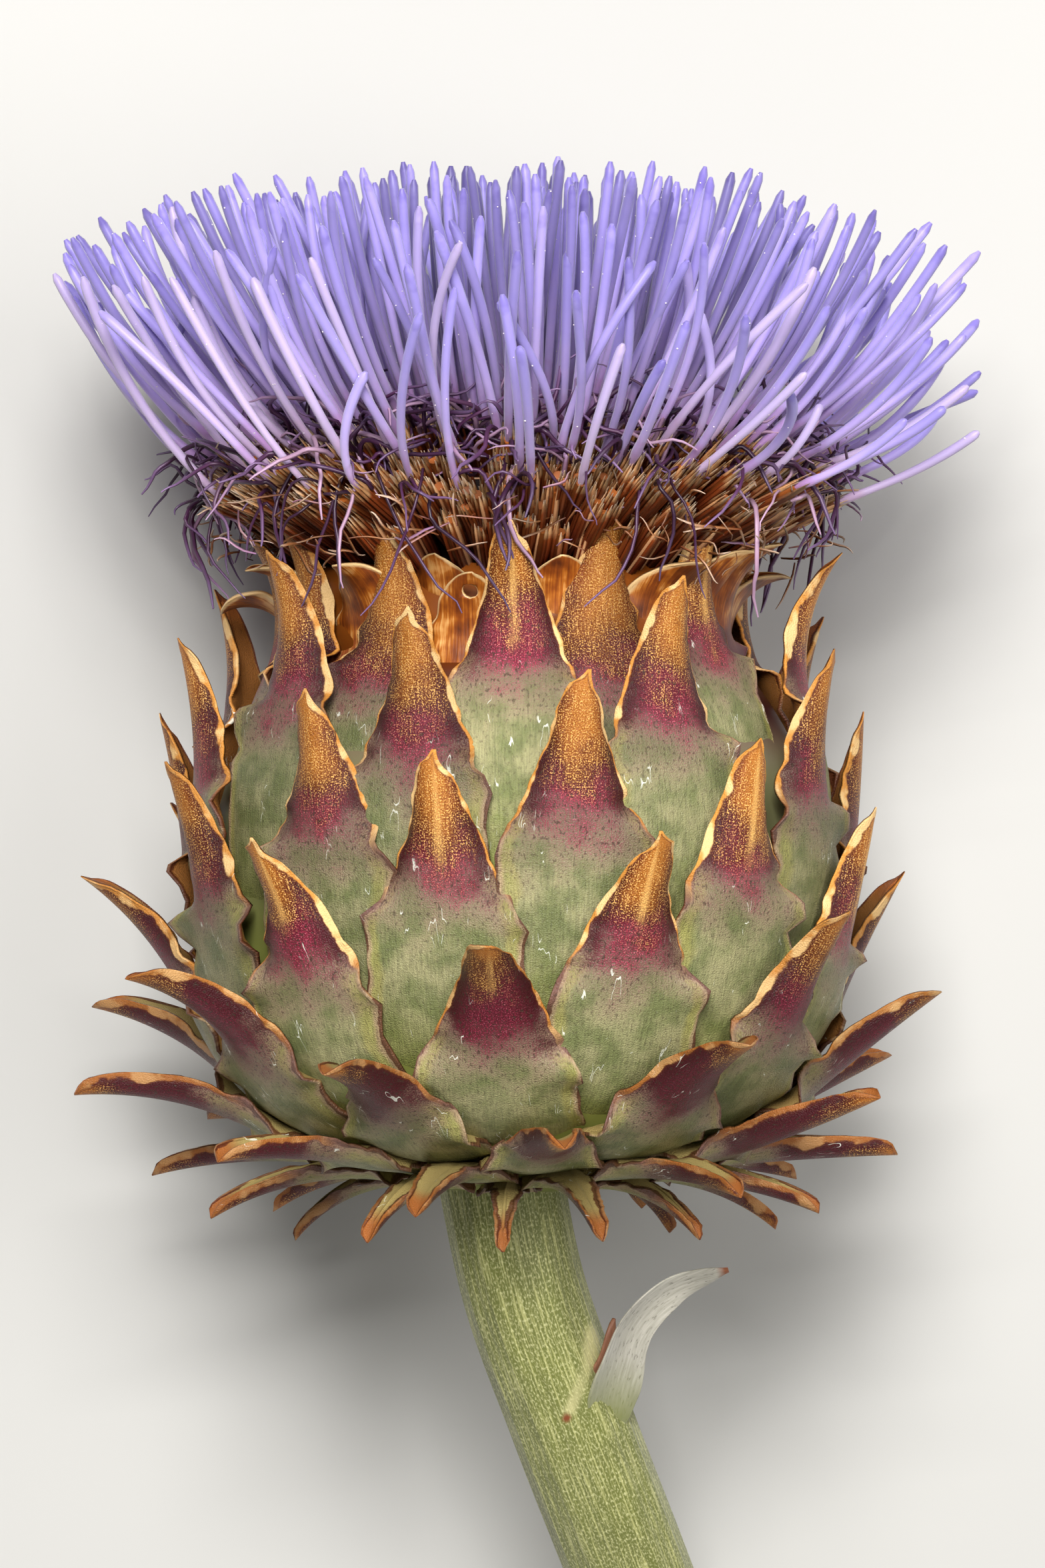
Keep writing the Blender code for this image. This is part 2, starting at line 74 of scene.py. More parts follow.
# How deep the heart lies under that outline, by the way along it
HEART_DEPTH = ((0, 0.3), (10, 1.5), (30, 3.4), (60, 3.8), (95, 4.6))
HEART_TOP = 66 * MM
# Above this height, in millimetres, the heart is purple and then gold.
DARK_ABOVE = 58
FIRST_PLACE, LAST_PLACE = -34, 34
DIVERGENCE = math.radians(137.7)
MIDDLE_AZIMUTH = math.radians(-2.4)
# Bracts that stand a little off the spiral, as the photograph shows them
ASIDE = {5: math.radians(-4), 18: math.radians(10), 26: math.radians(4), 31: math.radians(4)}
AZIMUTH_SPREAD = math.radians(1.0)
LEAN_SPREAD = math.radians(2.0)
# By place: the way along the outline to a bract's shoulder, how much lower that is on one
# side of the head, the lengths of body and tip, half the width, and the tip's slope in
# degrees
SHOULDER_ARC = (
    (-34, 4), (-21, 12), (-13, 19.5), (-8, 25), (0, 37), (12, 54.5), (24, 70.2), (34, 86.5),
)
ASKEW = ((-30, 0), (-10, 3.5), (10, 4), (24, 1.5), (34, 0))
BODY_LENGTH = ((-34, 3), (-13, 15), (0, 26), (34, 27))
TIP_LENGTH = ((-34, 15), (-24, 22), (-12, 26), (0, 22.5), (13, 20.5), (34, 21))
HALF_WIDTH = ((-34, 3.6), (-24, 5), (-14, 7.2), (-6, 9), (0, 9.8), (20, 9.6), (34, 8.6))
TIP_LEAN = (
    (-34, -27), (-24, -11), (-15, 4), (-8, 20), (0, 46), (8, 69), (15, 84), (26, 87),
    (34, 82),
)
# A body sinks under the outline at this slope, and bends round more than the globe does.
SHINGLE, BODY_CURL = 0.16, 1.15
# How far a steep tip may press into the table before it is bent up
FLAT_SPOT = 3 * MM
# Thickness at a bract's foot, the share of it at the tip, and how soon it falls off
BRACT_THICK, TIP_THICK_SHARE, THINNING = 3.4 * MM, 0.28, 1.2
MARGIN_THICK, POINT_THICK = 0.5 * MM, 0.15 * MM
# Widths as shares of the bract's own along the body and the tip, and curl in degrees
BODY_WIDTHS = ((0, 0.85), (0.35, 1.12), (0.7, 1.05), (0.82, 1.0), (0.94, 1.13), (1, 1.06))
# The fine outline of a tip ends in a narrow beak, which the solids leave out.
TIP_WIDTHS = (
    (0, 1.06), (0.06, 0.9), (0.14, 0.83), (0.4, 0.64), (0.8, 0.33), (0.88, 0.24), (0.93, 0.1),
    (1, 0.02),
)
TIP_CURL = ((0, 14), (0.2, 42), (0.6, 72), (0.85, 55), (1, 2))
# The lowest tips are rolled up like fingers, and blunt: how much so, by place
ROLLED = ((-12, 1), (-9, 0.75), (-3, 0.5), (4, 0))
ROLLED_WIDTHS = (
    (0, 1.06), (0.08, 0.97), (0.2, 0.85), (0.5, 0.7), (0.85, 0.52), (0.95, 0.42),
    (0.98, 0.24), (1, 0.04),
)
ROLLED_CURL = ((0, 12), (0.15, 34), (0.4, 78), (0.8, 108), (1, 92))
# How far the margin stands out in waves, by the way past the shoulder
WAVE = (
    (-0.5, 0), (-0.3, 0.5), (-0.17, -0.7), (0.0, 2.0), (0.13, -0.8), (0.27, 0.5), (0.42, -0.2),
    (0.6, 0),
)
WAVE_WIDTH = 9.5 * MM
# Heights of the hem, of the midrib and of the tears along a margin, and a tip's sway
HEM, MIDRIB, TEAR, SWAY = 0.14 * MM, 0.25 * MM, 0.1 * MM, 0.5 * MM
# Where the gold and the purple begin, as shares of the way up the tip, by place
GOLD_FROM = (
    (-34, 0.8), (-20, 0.78), (-13, 0.76), (-4, 0.76), (0, 0.62), (8, 0.42), (13, 0.34),
    (34, 0.36), (38, 0.12), (50, 0.0),
)
PURPLE_FROM = (
    (-34, 0.62), (-22, 0.5), (-13, 0.24), (-4, 0.14), (8, 0.16), (13, 0.12), (34, 0.02),
    (38, -0.14), (50, -0.25),
)
GOLD_SPREAD = 0.05
BODY_ROWS, TIP_ROWS, COLUMNS = 13, 33, 27
BRACT_MARKS = (
    "edge", "to_tip", "flank", "past_purple", "past_gold", "tone", "rise", "inside",
)
TIERS = (
    ("green_bracts_low", -34, -13), ("green_bracts_middle", -12, 11),
    ("green_bracts_high", 12, 34),
)
SEED = 7
UPRIGHT = np.array([0, 0, 1.0])

COLLAR_OUTLINE = ((23.5, 78.4), (26.2, 78.4), (27.8, 66.3), (23.5, 66.3))
# The first dry bracts stand upright inside the green ones, and taper to a point.
UPRIGHT_COUNT, UPRIGHT_THICK = 10, (1.4 * MM, 0.4)
UPRIGHT_ARC, UPRIGHT_BODY, UPRIGHT_TIP, UPRIGHT_SUNK = 90 * MM, 27 * MM, 19 * MM, 2.4 * MM
UPRIGHT_LEAN, UPRIGHT_HALF_WIDTH = math.radians(86), 8.4 * MM
# The papery ones inside them bend outwards under the florets, and show their backs. Each
# sinks by a step more than the last.
FLARED_COUNT, FLARED_THICK = 16, (0.7 * MM, 0.7)
FLARED_ARC, FLARED_TIP, FLARED_SUNK, FLARED_STEP = 92 * MM, 15.5 * MM, 4.4 * MM, 0.1 * MM
FLARED_HALF_WIDTH = 7.2 * MM
FLARED_WIDTHS = ((0, 1.1), (0.3, 1.0), (0.6, 0.74), (0.85, 0.38), (0.95, 0.18), (1, 0.02))
FLARED_CURL = ((0, 18), (0.6, 46), (1, 40))
FLARED_SHORTEST, FLARED_LONGEST = 0.8, 1.12
FLARED_LEAN, FLARED_SPREAD = math.radians(44), math.radians(11)
# They stand steeper and shorter above and below, where the flower is narrow.
STEEPER, STEEP_SHARE = math.radians(34), 0.85
# An insect has left a hole in the dry bract nearest this azimuth: the first row and column
# of the mesh that it takes away, and how many.
HOLE_AZIMUTH, HOLE_ROW, HOLE_COLUMN, HOLE_ROWS, HOLE_COLUMNS = -0.2, 35, 10, 4, 4

BED_OUTLINE = (
    (0.05, 88.5), (30.5, 88.5), (31.5, 87.5), (28.4, 84.8), (23.6, 80.6), (22.8, 78),
    (22.8, 66.3), (0.05, 66.3),
)
# Radius and height of a floret's root, of its joint and of its tip, by its share of the
# way out, in millimetres
TUBE_ROOT = ((0, 0, 86), (0.5, 12, 86), (0.8, 21, 84), (1, 25, 80.5))
JOINT = ((0, 0, 97), (0.5, 19.5, 97), (0.8, 32, 94.5), (0.93, 38, 92), (1, 41, 88))
STYLE_TIP = (
    (0, 0, 127.5), (0.3, 17, 127.5), (0.5, 31, 126), (0.7, 46, 123),
    (0.85, 55, 118.5), (0.94, 58.2, 111), (1, 58.4, 103),
)
STYLE_LENGTH_SPREAD, FLORET_AZIMUTH_SPREAD = 0.07, 0.012
# Shares of the styles that are still short, and that cross the others
SHORT_SHARE, STRAY_SHARE = 0.12, 0.15
# A style bends at these shares of its way out and up. The outermost ones droop on one side
# of the head, and rise on the other.
STYLE_BEND, STYLE_DROOP = (0.62, 0.4), 9 * MM
# How far a style's bend and its tip stray, and how much further the crossing ones lean
BEND_SPREAD, STYLE_LEAN, STRAY_LEAN = 0.7 * MM, 3.7 * MM, 2.4
JOINT_SPREAD, SHORTENED = 1.1 * MM, (0.6, 0.85)
BLOOM_TOP, BLOOM_RADIUS = 129.1, 58.9
# Round the outside stand more tufts, whose florets have dropped: root and joint of each
BARE_COUNT, BARE_ROOT, BARE_JOINT = 420, (24.2, 80.5), (39.5, 88)
# Grains to a square metre
POLLEN_DENSITY = 26000.0
BRISTLES_PER_TUBE, BRISTLE_RADIUS = 8, 0.34 * MM
HANGING_COUNT, THREAD_REACH = 44, 58 * MM
HAIR_COUNT, HAIR_REACH = 420, 45 * MM

STALK_LINE = (
    (-2.6, -0.2, 4), (-1.8, 0, -1.1), (0.4, 1.2, -12), (6.6, 6.2, -30), (14.1, 15.6, -50),
    (21.8, 27, -71), (29.6, 42.6, -94),
)
STALK_RADIUS, STALK_FLARE, STALK_SIDES, RIB_COUNT = 7.9 * MM, 1.04, 144, 12
# Finer ribs between the main ones: how many, how high and from where
FINE_RIBS = ((41, 0.05 * MM, 1.3), (67, 0.03 * MM, 0))
STALK_CLEARANCE = 0.05 * MM
# The cut end sinks towards its pith, in rings: share of the radius, and depth
CUT_RINGS = ((0.93, 0.15), (0.8, 0.4), (0.55, 0.6), (0.25, 0.7))
LEAF_LINE = (
    (10, 3, -34), (12.2, 0, -24), (14.6, -2, -17.5), (19.5, -3, -13), (26.8, -3.5, -10.6),
)
LEAF_HALF_WIDTH = 4 * MM
LEAF_WIDTHS = (
    (0, 0.3), (0.14, 0.85), (0.3, 0.95), (0.45, 0.74), (0.75, 0.6), (0.93, 0.3), (1, 0.06),
)
LEAF_THICK = 1.1 * MM
LEAF_TILT = math.radians(35)
SCALE_LINE = ((9.6, 1, -25.5), (10.9, -0.6, -22), (11.6, -1, -19.5), (12.2, -1.2, -17))
SCALE_HALF_WIDTH = 1.4 * MM
# A leaf has left a cream scar on the stalk, from here to here, with a brown spot below it.
SCAR_FROM, SCAR_TO, SCAR_WIDTH = (9.6, -1.0, -19.5), (6.6, -2.1, -28.5), 1.7 * MM
SPOT_WIDTH = 0.7 * MM


def linear(hex_colour):
    """Linear red, green and blue of an sRGB colour that is written as hex."""
    shares = [int(hex_colour[i:i + 2], 16) / 255 for i in (1, 3, 5)]
    return [s / 12.92 if s <= 0.04045 else ((s + 0.055) / 1.055) ** 2.4 for s in shares]


def colour(hex_value, name, description):
    """A colour that the user can change."""
    return FloatVectorProperty(
        name=name, description=description, subtype="COLOR", size=3, min=0, max=1,
        default=linear(hex_value),
    )


def length(value, name, description):
    """A length in metres that the user can change."""
    return FloatProperty(
        name=name, description=description, default=value, min=0, unit="LENGTH", precision=5
    )


class ArtichokeBracts(bpy.types.PropertyGroup):
    """The green bracts and the dry ones."""

    margin: length(1.0 * MM, "Margin Wave", "Height of the ripple along a bract's margin")
    hole: length(1.0 * MM, "Hole", "Radius of the hole that an insect left in a dry bract")
    green: colour("#6e7347", "Green", "Waxy green of a bract's body")
    pale: colour("#9a956b", "Pale Green", "Lighter green between the veins")
    mauve: colour("#7c5b55", "Mauve", "Greyish band under the purple")
    purple: colour("#5a1022", "Purple", "Purple band at the foot of the tip")
    # At the flanks of a tip's purple band this dark red is partly painted shade.
    maroon: colour("#3c0d12", "Maroon", "Dark red of the lowest tips and of a tip's flanks")
    gold: colour("#85400f", "Gold", "Dry golden brown of the tips")
    rim: colour("#cf8b3c", "Rim", "Bright dry edge of the tips")
    amber: colour("#b5691f", "Amber", "Dry papery bracts under the flower")


class ArtichokeFlorets(bpy.types.PropertyGroup):
    """The florets: tubes, styles, threads and pollen."""

    count: IntProperty(
        name="Florets", description="Number of florets in the flower", default=440, min=50
    )
    style: length(0.63 * MM, "Style Radius", "Radius of a violet style")
    tube: length(0.95 * MM, "Tube Radius", "Radius of a brown floret tube")
    thread: length(0.28 * MM, "Thread Radius", "Radius of a curly purple thread")
    grain: length(0.1 * MM, "Grain Radius", "Radius of a grain of pollen")
    violet: colour("#ab9ce2", "Violet", "Lavender blue of the styles")
    pink: colour("#b88fc6", "Pink", "Pinker foot of a style")
    brown: colour("#62240e", "Brown", "Copper brown of the tubes")
    straw: colour("#cf9f6c", "Straw", "Pale bristles round the top of a tube")
    purple: colour("#4d2748", "Thread Purple", "Dark purple of the curly threads")


class ArtichokeStalk(bpy.types.PropertyGroup):
    """The stalk and its leaf."""

    rib: length(0.2 * MM, "Rib Height", "Height of the ribs along the stalk")
    green: colour("#71762f", "Green", "Yellowish green of the stalk")
    down: colour("#d6d39a", "Down", "Silvery down on the stalk and the leaf")
    pith: colour("#dcdcb4", "Pith", "Pale pith where the stalk is cut")


class ArtichokeStage(bpy.types.PropertyGroup):
    """Table, lights and camera."""

    floor: colour("#c4c2bd", "Table", "Plain pale table")
    key: FloatProperty(
        name="Key Light", description="Power of the main soft light", default=12, min=0,
        unit="POWER",
    )


def values_at(table, places):
    """What a table of (place, value) pairs gives between its places."""
    known, heights = zip(*table)
    return np.interp(places, known, heights)


def blended(table, other, share):
    """A table between two of them."""
    places = sorted({place for place, _ in (*table, *other)})
    mixed = (1 - share) * values_at(table, places) + share * values_at(other, places)
    return list(zip(places, mixed))


def rounded(table, places, blur=0.03):
    """What a table gives, with its corners rounded off."""
    shifts = np.linspace(-blur, blur, 7)
    return sum(values_at(table, places + shift) for shift in shifts) / len(shifts)


def smooth_line(points, steps=16):
    """A smooth curve through the points, as a dense array of points."""
    points = np.array(points, float)
    chords = np.linalg.norm(np.diff(points, axis=0), axis=1)
    knots = np.concatenate([[0], np.cumsum(chords)])
    slopes = np.gradient(points, knots, axis=0)
    line = []
    for i, chord in enumerate(chords):
        for u in np.arange(steps) / steps:
            line.append(
                (2 * u**3 - 3 * u**2 + 1) * points[i]
                + (u**3 - 2 * u**2 + u) * chord * slopes[i]
                + (3 * u**2 - 2 * u**3) * points[i + 1]
                + (u**3 - u**2) * chord * slopes[i + 1]
            )
    return np.array([*line, points[-1]])


def lengths_along(line):
    """The length of a line of points up to each of them."""
    steps = np.linalg.norm(np.diff(line, axis=0), axis=1)
    return np.concatenate([[0], np.cumsum(steps)])


GLOBE = smooth_line(GLOBE_OUTLINE) * MM
GLOBE_ARC = lengths_along(GLOBE)
GLOBE_SLOPE = np.gradient(GLOBE, GLOBE_ARC, axis=0)
GLOBE_ANGLE = np.arctan2(GLOBE_SLOPE[:, 1], GLOBE_SLOPE[:, 0])


def on_globe(arc, depth=0.0):
    """Radius, height and direction on the globe's outline, sunk by a depth."""
    radius = np.interp(arc, GLOBE_ARC, GLOBE[:, 0])
    height = np.interp(arc, GLOBE_ARC, GLOBE[:, 1])
    angle = np.interp(arc, GLOBE_ARC, GLOBE_ANGLE)
    return radius - depth * np.sin(angle), height + depth * np.cos(angle), angle


def laid(points, clearance=0.0):
    """Points of the upright head where they lie, kept above the table by a clearance."""
    x, y, z = np.moveaxis(np.asarray(points, float), -1, 0)
    up = np.maximum(AXIS_HEIGHT - y, clearance)
    return np.stack([x + HEAD_X, z + HEAD_Y, up], -1)


def around(azimuth, radius, height):
    """Points of the upright head by azimuth, 0 for the side that lies up, and radius."""
    height = np.broadcast_to(height, np.broadcast(azimuth, radius, height).shape)
    return np.stack([radius * np.sin(azimuth), -radius * np.cos(azimuth), height], -1)


def hole_loop():
    """Rows and columns of the grid's points round the hole."""
    low, left, high, right = (
        HOLE_ROW, HOLE_COLUMN, HOLE_ROW + HOLE_ROWS, HOLE_COLUMN + HOLE_COLUMNS,
    )
    return tuple(np.array([
        *((low, c) for c in range(left, right)), *((r, right) for r in range(low, high)),
        *((high, c) for c in range(right, left, -1)), *((r, left) for r in range(high, low, -1)),
    ]).T)


def shell_faces(rows, columns, hole=False):
    """Quads of a closed shell: an outer grid, an inner one behind it, and the rim.

    The insect's hole can go through both.
    """
    outer = np.arange(rows * columns).reshape(rows, columns)
    back = rows * columns
    corners = outer[:-1, :-1], outer[:-1, 1:], outer[1:, 1:], outer[1:, :-1]
    front = np.stack(corners, -1)
    if hole:
        kept = np.ones((rows - 1, columns - 1), bool)
        kept[HOLE_ROW:HOLE_ROW + HOLE_ROWS, HOLE_COLUMN:HOLE_COLUMN + HOLE_COLUMNS] = False
        round_it = outer[hole_loop()]
        on = np.roll(round_it, -1)
        wall = np.stack([round_it, on, on + back, round_it + back], -1)
        front = front[kept]
    front = front.reshape(-1, 4)
    rim = np.concatenate(
        [outer[0, :-1], outer[:-1, -1], outer[-1, :0:-1], outer[:0:-1, 0]]
    )
    ahead = np.roll(rim, -1)
    side = np.stack([ahead, rim, rim + back, ahead + back], -1)
    return np.concatenate([front, front[:, ::-1] + back, side, *([wall] if hole else [])])


def shown(name, data):
    """A new object of a mesh, a light or a camera, in the scene."""
    made = bpy.data.objects.new(name, data)
    bpy.context.scene.collection.objects.link(made)
    return made


def mesh_piece(name, points, faces, finish, marks=None, fibres=None, turn_out=False):
    """A smooth mesh object with its finish, named numbers on its points and a UV map."""
    mesh = bpy.data.meshes.new(name)
    mesh.from_pydata(points.reshape(-1, 3).tolist(), [], [list(map(int, f)) for f in faces])
    mesh.polygons.foreach_set("use_smooth", [True] * len(mesh.polygons))
    for mark, values in (marks or {}).items():
        attribute = mesh.attributes.new(mark, "FLOAT", "POINT")
        attribute.data.foreach_set("value", np.ravel(values).astype(np.float32))
    if fibres is not None:
        corner = np.zeros(len(mesh.loops), np.int32)
        mesh.loops.foreach_get("vertex_index", corner)
        layer = mesh.uv_layers.new(name="fibres")
        layer.data.foreach_set("uv", fibres[corner].ravel().astype(np.float32))
    mesh.materials.append(finish)
    # The insect's hole leaves points that no face uses.
    bm = bmesh.new()
    bm.from_mesh(mesh)
    loose = [corner for corner in bm.verts if not corner.link_faces]
    bmesh.ops.delete(bm, geom=loose, context="VERTS")
    if turn_out:
        bmesh.ops.recalc_face_normals(bm, faces=bm.faces[:])
    bm.to_mesh(mesh)
    bm.free()
    return shown(name, mesh)


def ring_faces(rings):
    """Quads between rings of points, which are given as rows of the points' numbers."""
    on = np.roll(rings, -1, axis=1)
    return np.stack([rings[:-1], rings[1:], on[1:], on[:-1]], -1).reshape(-1, 4)


def turned_piece(name, outline, finish, marks=None, sides=96):
    """A closed solid turned round the head's axis, from an outline that runs down."""
    radius, height = np.array(outline, float).T * MM
    turn = np.linspace(0, math.tau, sides, endpoint=False)
    points = laid(around(turn[None, :], radius[:, None], height[:, None]))
    rings = np.arange(len(radius) * sides).reshape(-1, sides)
    if outline[0][0] > 1:
        faces = ring_faces(np.concatenate([rings, rings[:1]]))
    else:
        faces = [*ring_faces(rings), rings[0], rings[-1, ::-1]]
    marks = {
        mark: np.repeat(np.broadcast_to(value, len(radius)), sides)
        for mark, value in (marks or {}).items()
    }
    return mesh_piece(name, points, faces, finish, marks, turn_out=True)


def add(tree, kind, inputs=None, out=0, stops=None, **settings):
    """Adds a node with its settings and links, and gives one of its outputs.

    stops are a Color Ramp's (place, colour) pairs or a Float Curve's points.
    """
    node = tree.nodes.new(kind)
    for name, value in settings.items():
        setattr(node, name, value)
    wire(tree, node, inputs or {})
    if stops and kind == "ShaderNodeValToRGB":
        ramp = node.color_ramp.elements
        ramp.remove(ramp[1])
        ramp[0].position, ramp[0].color = stops[0][0], (*stops[0][1], 1)
        for place, shade in stops[1:]:
            ramp.new(place).color = (*shade, 1)
    elif stops:
        points = node.mapping.curves[0].points
        for i, place in enumerate(stops):
            if i > 1:
                points.new(*place)
            else:
                points[i].location = place
        node.mapping.update()
    return node.outputs[out] if node.outputs else node


def wire(tree, node, inputs):
    """Links or sets a node's inputs."""
    for name, value in inputs.items():
        socket = node.inputs[name]
        if isinstance(value, bpy.types.NodeSocket):
            tree.links.new(value, socket)
        elif socket.type == "RGBA" and len(value) == 3:
            socket.default_value = (*value, 1)
        else:
            socket.default_value = value


def new_material(name, **constants):
    """A material with its shader, and the shader's own constants set on it."""
    made = bpy.data.materials.new(name)
    made.use_nodes = True
    shader = made.node_tree.nodes["Principled BSDF"]
    wire(made.node_tree, shader, {k.replace("_", " "): v for k, v in constants.items()})
    return made, made.node_tree, shader


def fibre_noise(tree, *patterns):
    """Noise that runs with a piece's fibres: so often across and along a centimetre."""
    fibres = add(tree, "ShaderNodeUVMap", uv_map="fibres")
    return [
        add(tree, "ShaderNodeTexNoise", {
            "Vector": add(
                tree, "ShaderNodeMapping", {"Vector": fibres, "Scale": (across, along, 1)}
            ),
            "Scale": 1, "Detail": detail,
        })
        for across, along, detail in patterns
    ]


def painted(tree, shade, layers):
    """A shade with others laid over it in turn, each where a value runs from low to high."""
    for value, low, high, most, ease, over in layers:
        cover = add(
            tree, "ShaderNodeMapRange",
            {"Value": value, "From Min": low, "From Max": high, "To Max": most},
            interpolation_type=ease,
        )
        shade = add(
            tree, "ShaderNodeMix", {0: cover, 6: shade, 7: over}, out=2, data_type="RGBA"
        )
    return shade


def relieve(tree, shader, shade, rough, height, strength, deep):
    """Ends a material with its shade, its roughness and a relief so deep."""
    bump = add(
        tree, "ShaderNodeBump", {"Height": height, "Strength": strength, "Distance": deep}
    )
    wire(tree, shader, {"Base Color": shade, "Roughness": rough, "Normal": bump})


def waxy_bract(look):
    """Living artichoke bract: a leathery leaf under a thin wax bloom, dried at its tip."""
    made, tree, shader = new_material("waxy_artichoke_bract", IOR=1.48, Specular_IOR_Level=0.3)
    edge, to_tip, flank, past_purple, past_gold, tone, rise, inside = (
        add(tree, "ShaderNodeAttribute", out="Fac", attribute_name=name) for name in BRACT_MARKS
    )
    # Veins run up the bract every quarter of a millimetre, and the cells between them
    # are smaller still. Both are drawn a little coarser than life, to show.
    veins, cells, cloud, speck, highlight_streaks, patch = fibre_noise(
        tree, (40, 3.2, 3), (60, 48, 2), (2.1, 2.1, 4), (28, 15, 3), (9, 2.2, 1),
        (3.4, 1.9, 2),
    )
    # How far past the start of the purple and of the gold, in millimetres, frayed
    ragged = -13.0
    for noise, strength in ((veins, 3.5), (cells, 9.0), (cloud, 13.5)):
        ragged = add(
            tree, "ShaderNodeMath", {0: noise, 1: strength, 2: ragged},
            operation="MULTIPLY_ADD",
        )
    at_purple, at_gold = (
        add(tree, "ShaderNodeMath", {0: start, 1: ragged}) for start in (past_purple, past_gold)
    )
    wavy = add(
        tree, "ShaderNodeMath", {0: cloud, 1: -2.6, 2: edge}, operation="MULTIPLY_ADD"
    )
    # Thin white streaks on the body: its scratches, painted white as glossy highlights.
    line = add(tree, "ShaderNodeMath", {0: highlight_streaks, 1: 0.5}, operation="SUBTRACT")
    line = add(tree, "ShaderNodeMath", {0: line}, operation="ABSOLUTE")
    grain = add(
        tree, "ShaderNodeMath", {0: cells, 1: 2.6, 2: veins}, operation="MULTIPLY_ADD"
    )
    span = {
        name: add(
            tree, "ShaderNodeMapRange",
            {"Value": value, "From Min": low, "From Max": high, "To Min": least, "To Max": most},
            interpolation_type="SMOOTHSTEP",
        )
        for name, value, low, high, least, most in (
            ("near", at_purple, -8.0, 2.0, 0, 0.9), ("banded", at_purple, -2.5, 3.5, 0, 1),
            ("dried", at_gold, -3.5, 3.0, 0, 1), ("ripe", at_gold, -1.0, 9.0, 0, 1),
            ("root", past_purple, -12.0, -30.0, 0, 1), ("leafy", cloud, 0.34, 0.66, 0, 1),
            ("yellow", wavy, 1.3, 0.3, 0, 0.5), ("pink", wavy, -0.2, -0.9, 0, 0.7),
            ("dark", wavy, -0.95, -1.1, 0, 0.85), ("vein", veins, 0.3, 0.7, 0.8, 1.14),
            # Lighter grains, glints and sparks are painted highlights, and the darker grains are
            # painted shade in the pits of the grain.
            ("lit", grain, 1.65, 2.1, 0, 1), ("glint", grain, 1.85, 2.2, 0, 0.85),
            ("pit_shade", grain, 1.7, 1.4, 0, 0.4),
            ("spark", cells, 0.61, 0.7, 0, 0.5), ("shine", flank, 0.8, 0.2, 0, 0.9),
            ("middle", flank, 0.85, 0.25, 0, 1), ("high", rise, 0.38, 0.62, 0.28, 1),
            ("cream", cloud, 0.48, 0.6, 0, 0.8), ("some", tone, 0.6, 0.7, 0, 1),
            ("dot", speck, 0.56, 0.64, 0, 1), ("few", at_purple, -9.0, 2.0, 0.3, 0.8),
            ("end", to_tip, 4.0, 0.8, 0, 0.75), ("midrib_highlight", flank, 0.16, 0.02, 0, 0.55),
            ("tipward", past_purple, -4.0, 1.0, 0, 1), ("shadow", wavy, -0.4, -0.9, 0, 0.75),
            ("lip", wavy, -0.72, -0.92, 0, 1), ("scar", line, 0.013, 0.005, 0, 0.7),
            ("where", patch, 0.62, 0.66, 0, 1), ("body", at_gold, -2.0, -6.0, 0, 1),
            ("inner_end", to_tip, 6.0, 2.0, 0, 0.9),
            ("bright", tone, 0.0, 1.0, 0.84, 1.12), ("gloss", cells, 0.3, 0.7, 0.26, 0.55),
        )
    }
    for name, first, second in (
        ("middle", "middle", "high"), ("dot", "dot", "few"), ("midrib_highlight", "midrib_highlight", "high"),
        ("midrib_highlight", "midrib_highlight", "some"), ("shadow", "shadow", "tipward"),
        ("lip", "lip", "tipward"), ("scar", "scar", "where"), ("scar", "scar", "body"),
        ("shine", "shine", "ripe"), ("shine", "shine", "high"), ("cream", "cream", "high"),
    ):
        span[name] = add(
            tree, "ShaderNodeMath", {0: span[first], 1: span[second]}, operation="MULTIPLY"
        )
    # Each part's colour, then what lies over it, in turn
    shade = {}
    for name, first, layers in (
        ("body", look.green, (
            ("leafy", look.pale), ("root", linear("#7f8440")), ("yellow", linear("#a39a50")),
            ("pink", linear("#a98a72")), ("dark", linear("#4f2415")),
        )),
        # The purple's lighter grains and sparks are painted highlights.
        ("bright", look.purple, (("lit", linear("#9a2a44")), ("spark", linear("#e3a2ae")))),
        # The purple band is lighter down its middle and maroon at its flanks: partly the band's own
        # colour, partly painted highlight and painted shade.
        ("violet", look.maroon, (("middle", "bright"),)),
        # Over the gold, the lighter middle and the line down the midrib are painted highlights, as
        # are the glints, and the darker grains are painted shade.
        ("tip", linear("#4a1a08"), (
            ("ripe", look.gold), ("shine", linear("#ad6a22")), ("pit_shade", linear("#5c2409")),
            ("glint", linear("#edb768")), ("midrib_highlight", linear("#e8b264")),
            ("end", linear("#b56f28")),
        )),
        ("lip", linear("#6d3014"), (("high", look.rim), ("cream", linear("#f0ca8c")))),
        ("inner", linear("#a59b62"), (
            ("high", linear("#9a6432")), ("inner_end", linear("#9a5422")),
            ("dark", linear("#4f1e12")),
        )),
        ("skin", "body", (
            ("vein", None), ("near", look.mauve), ("banded", "violet"),
            ("dot", linear("#3a2a20")), ("dried", "tip"), ("shadow", linear("#54200e")),
            # The white streaks are painted highlights on the scratches.
            ("lip", "lip"), ("inside", "inner"), ("scar", linear("#f2f2e2")), ("bright", None),
        )),
    ):
        mixed = shade.get(first, first) if isinstance(first, str) else first
        for layer, over in layers:
            if over is None:
                mixed = add(
                    tree, "ShaderNodeVectorMath", {0: mixed, "Scale": span[layer]},
                    operation="SCALE",
                )
                continue
            mixed = add(
                tree, "ShaderNodeMix",
                {0: span.get(layer, inside), 6: mixed,
                 7: shade[over] if isinstance(over, str) else over},
                out=2, data_type="RGBA",
            )
        shade[name] = mixed
    relieve(tree, shader, shade["skin"], span["gloss"], grain, 0.6, 0.14 * MM)
    return made


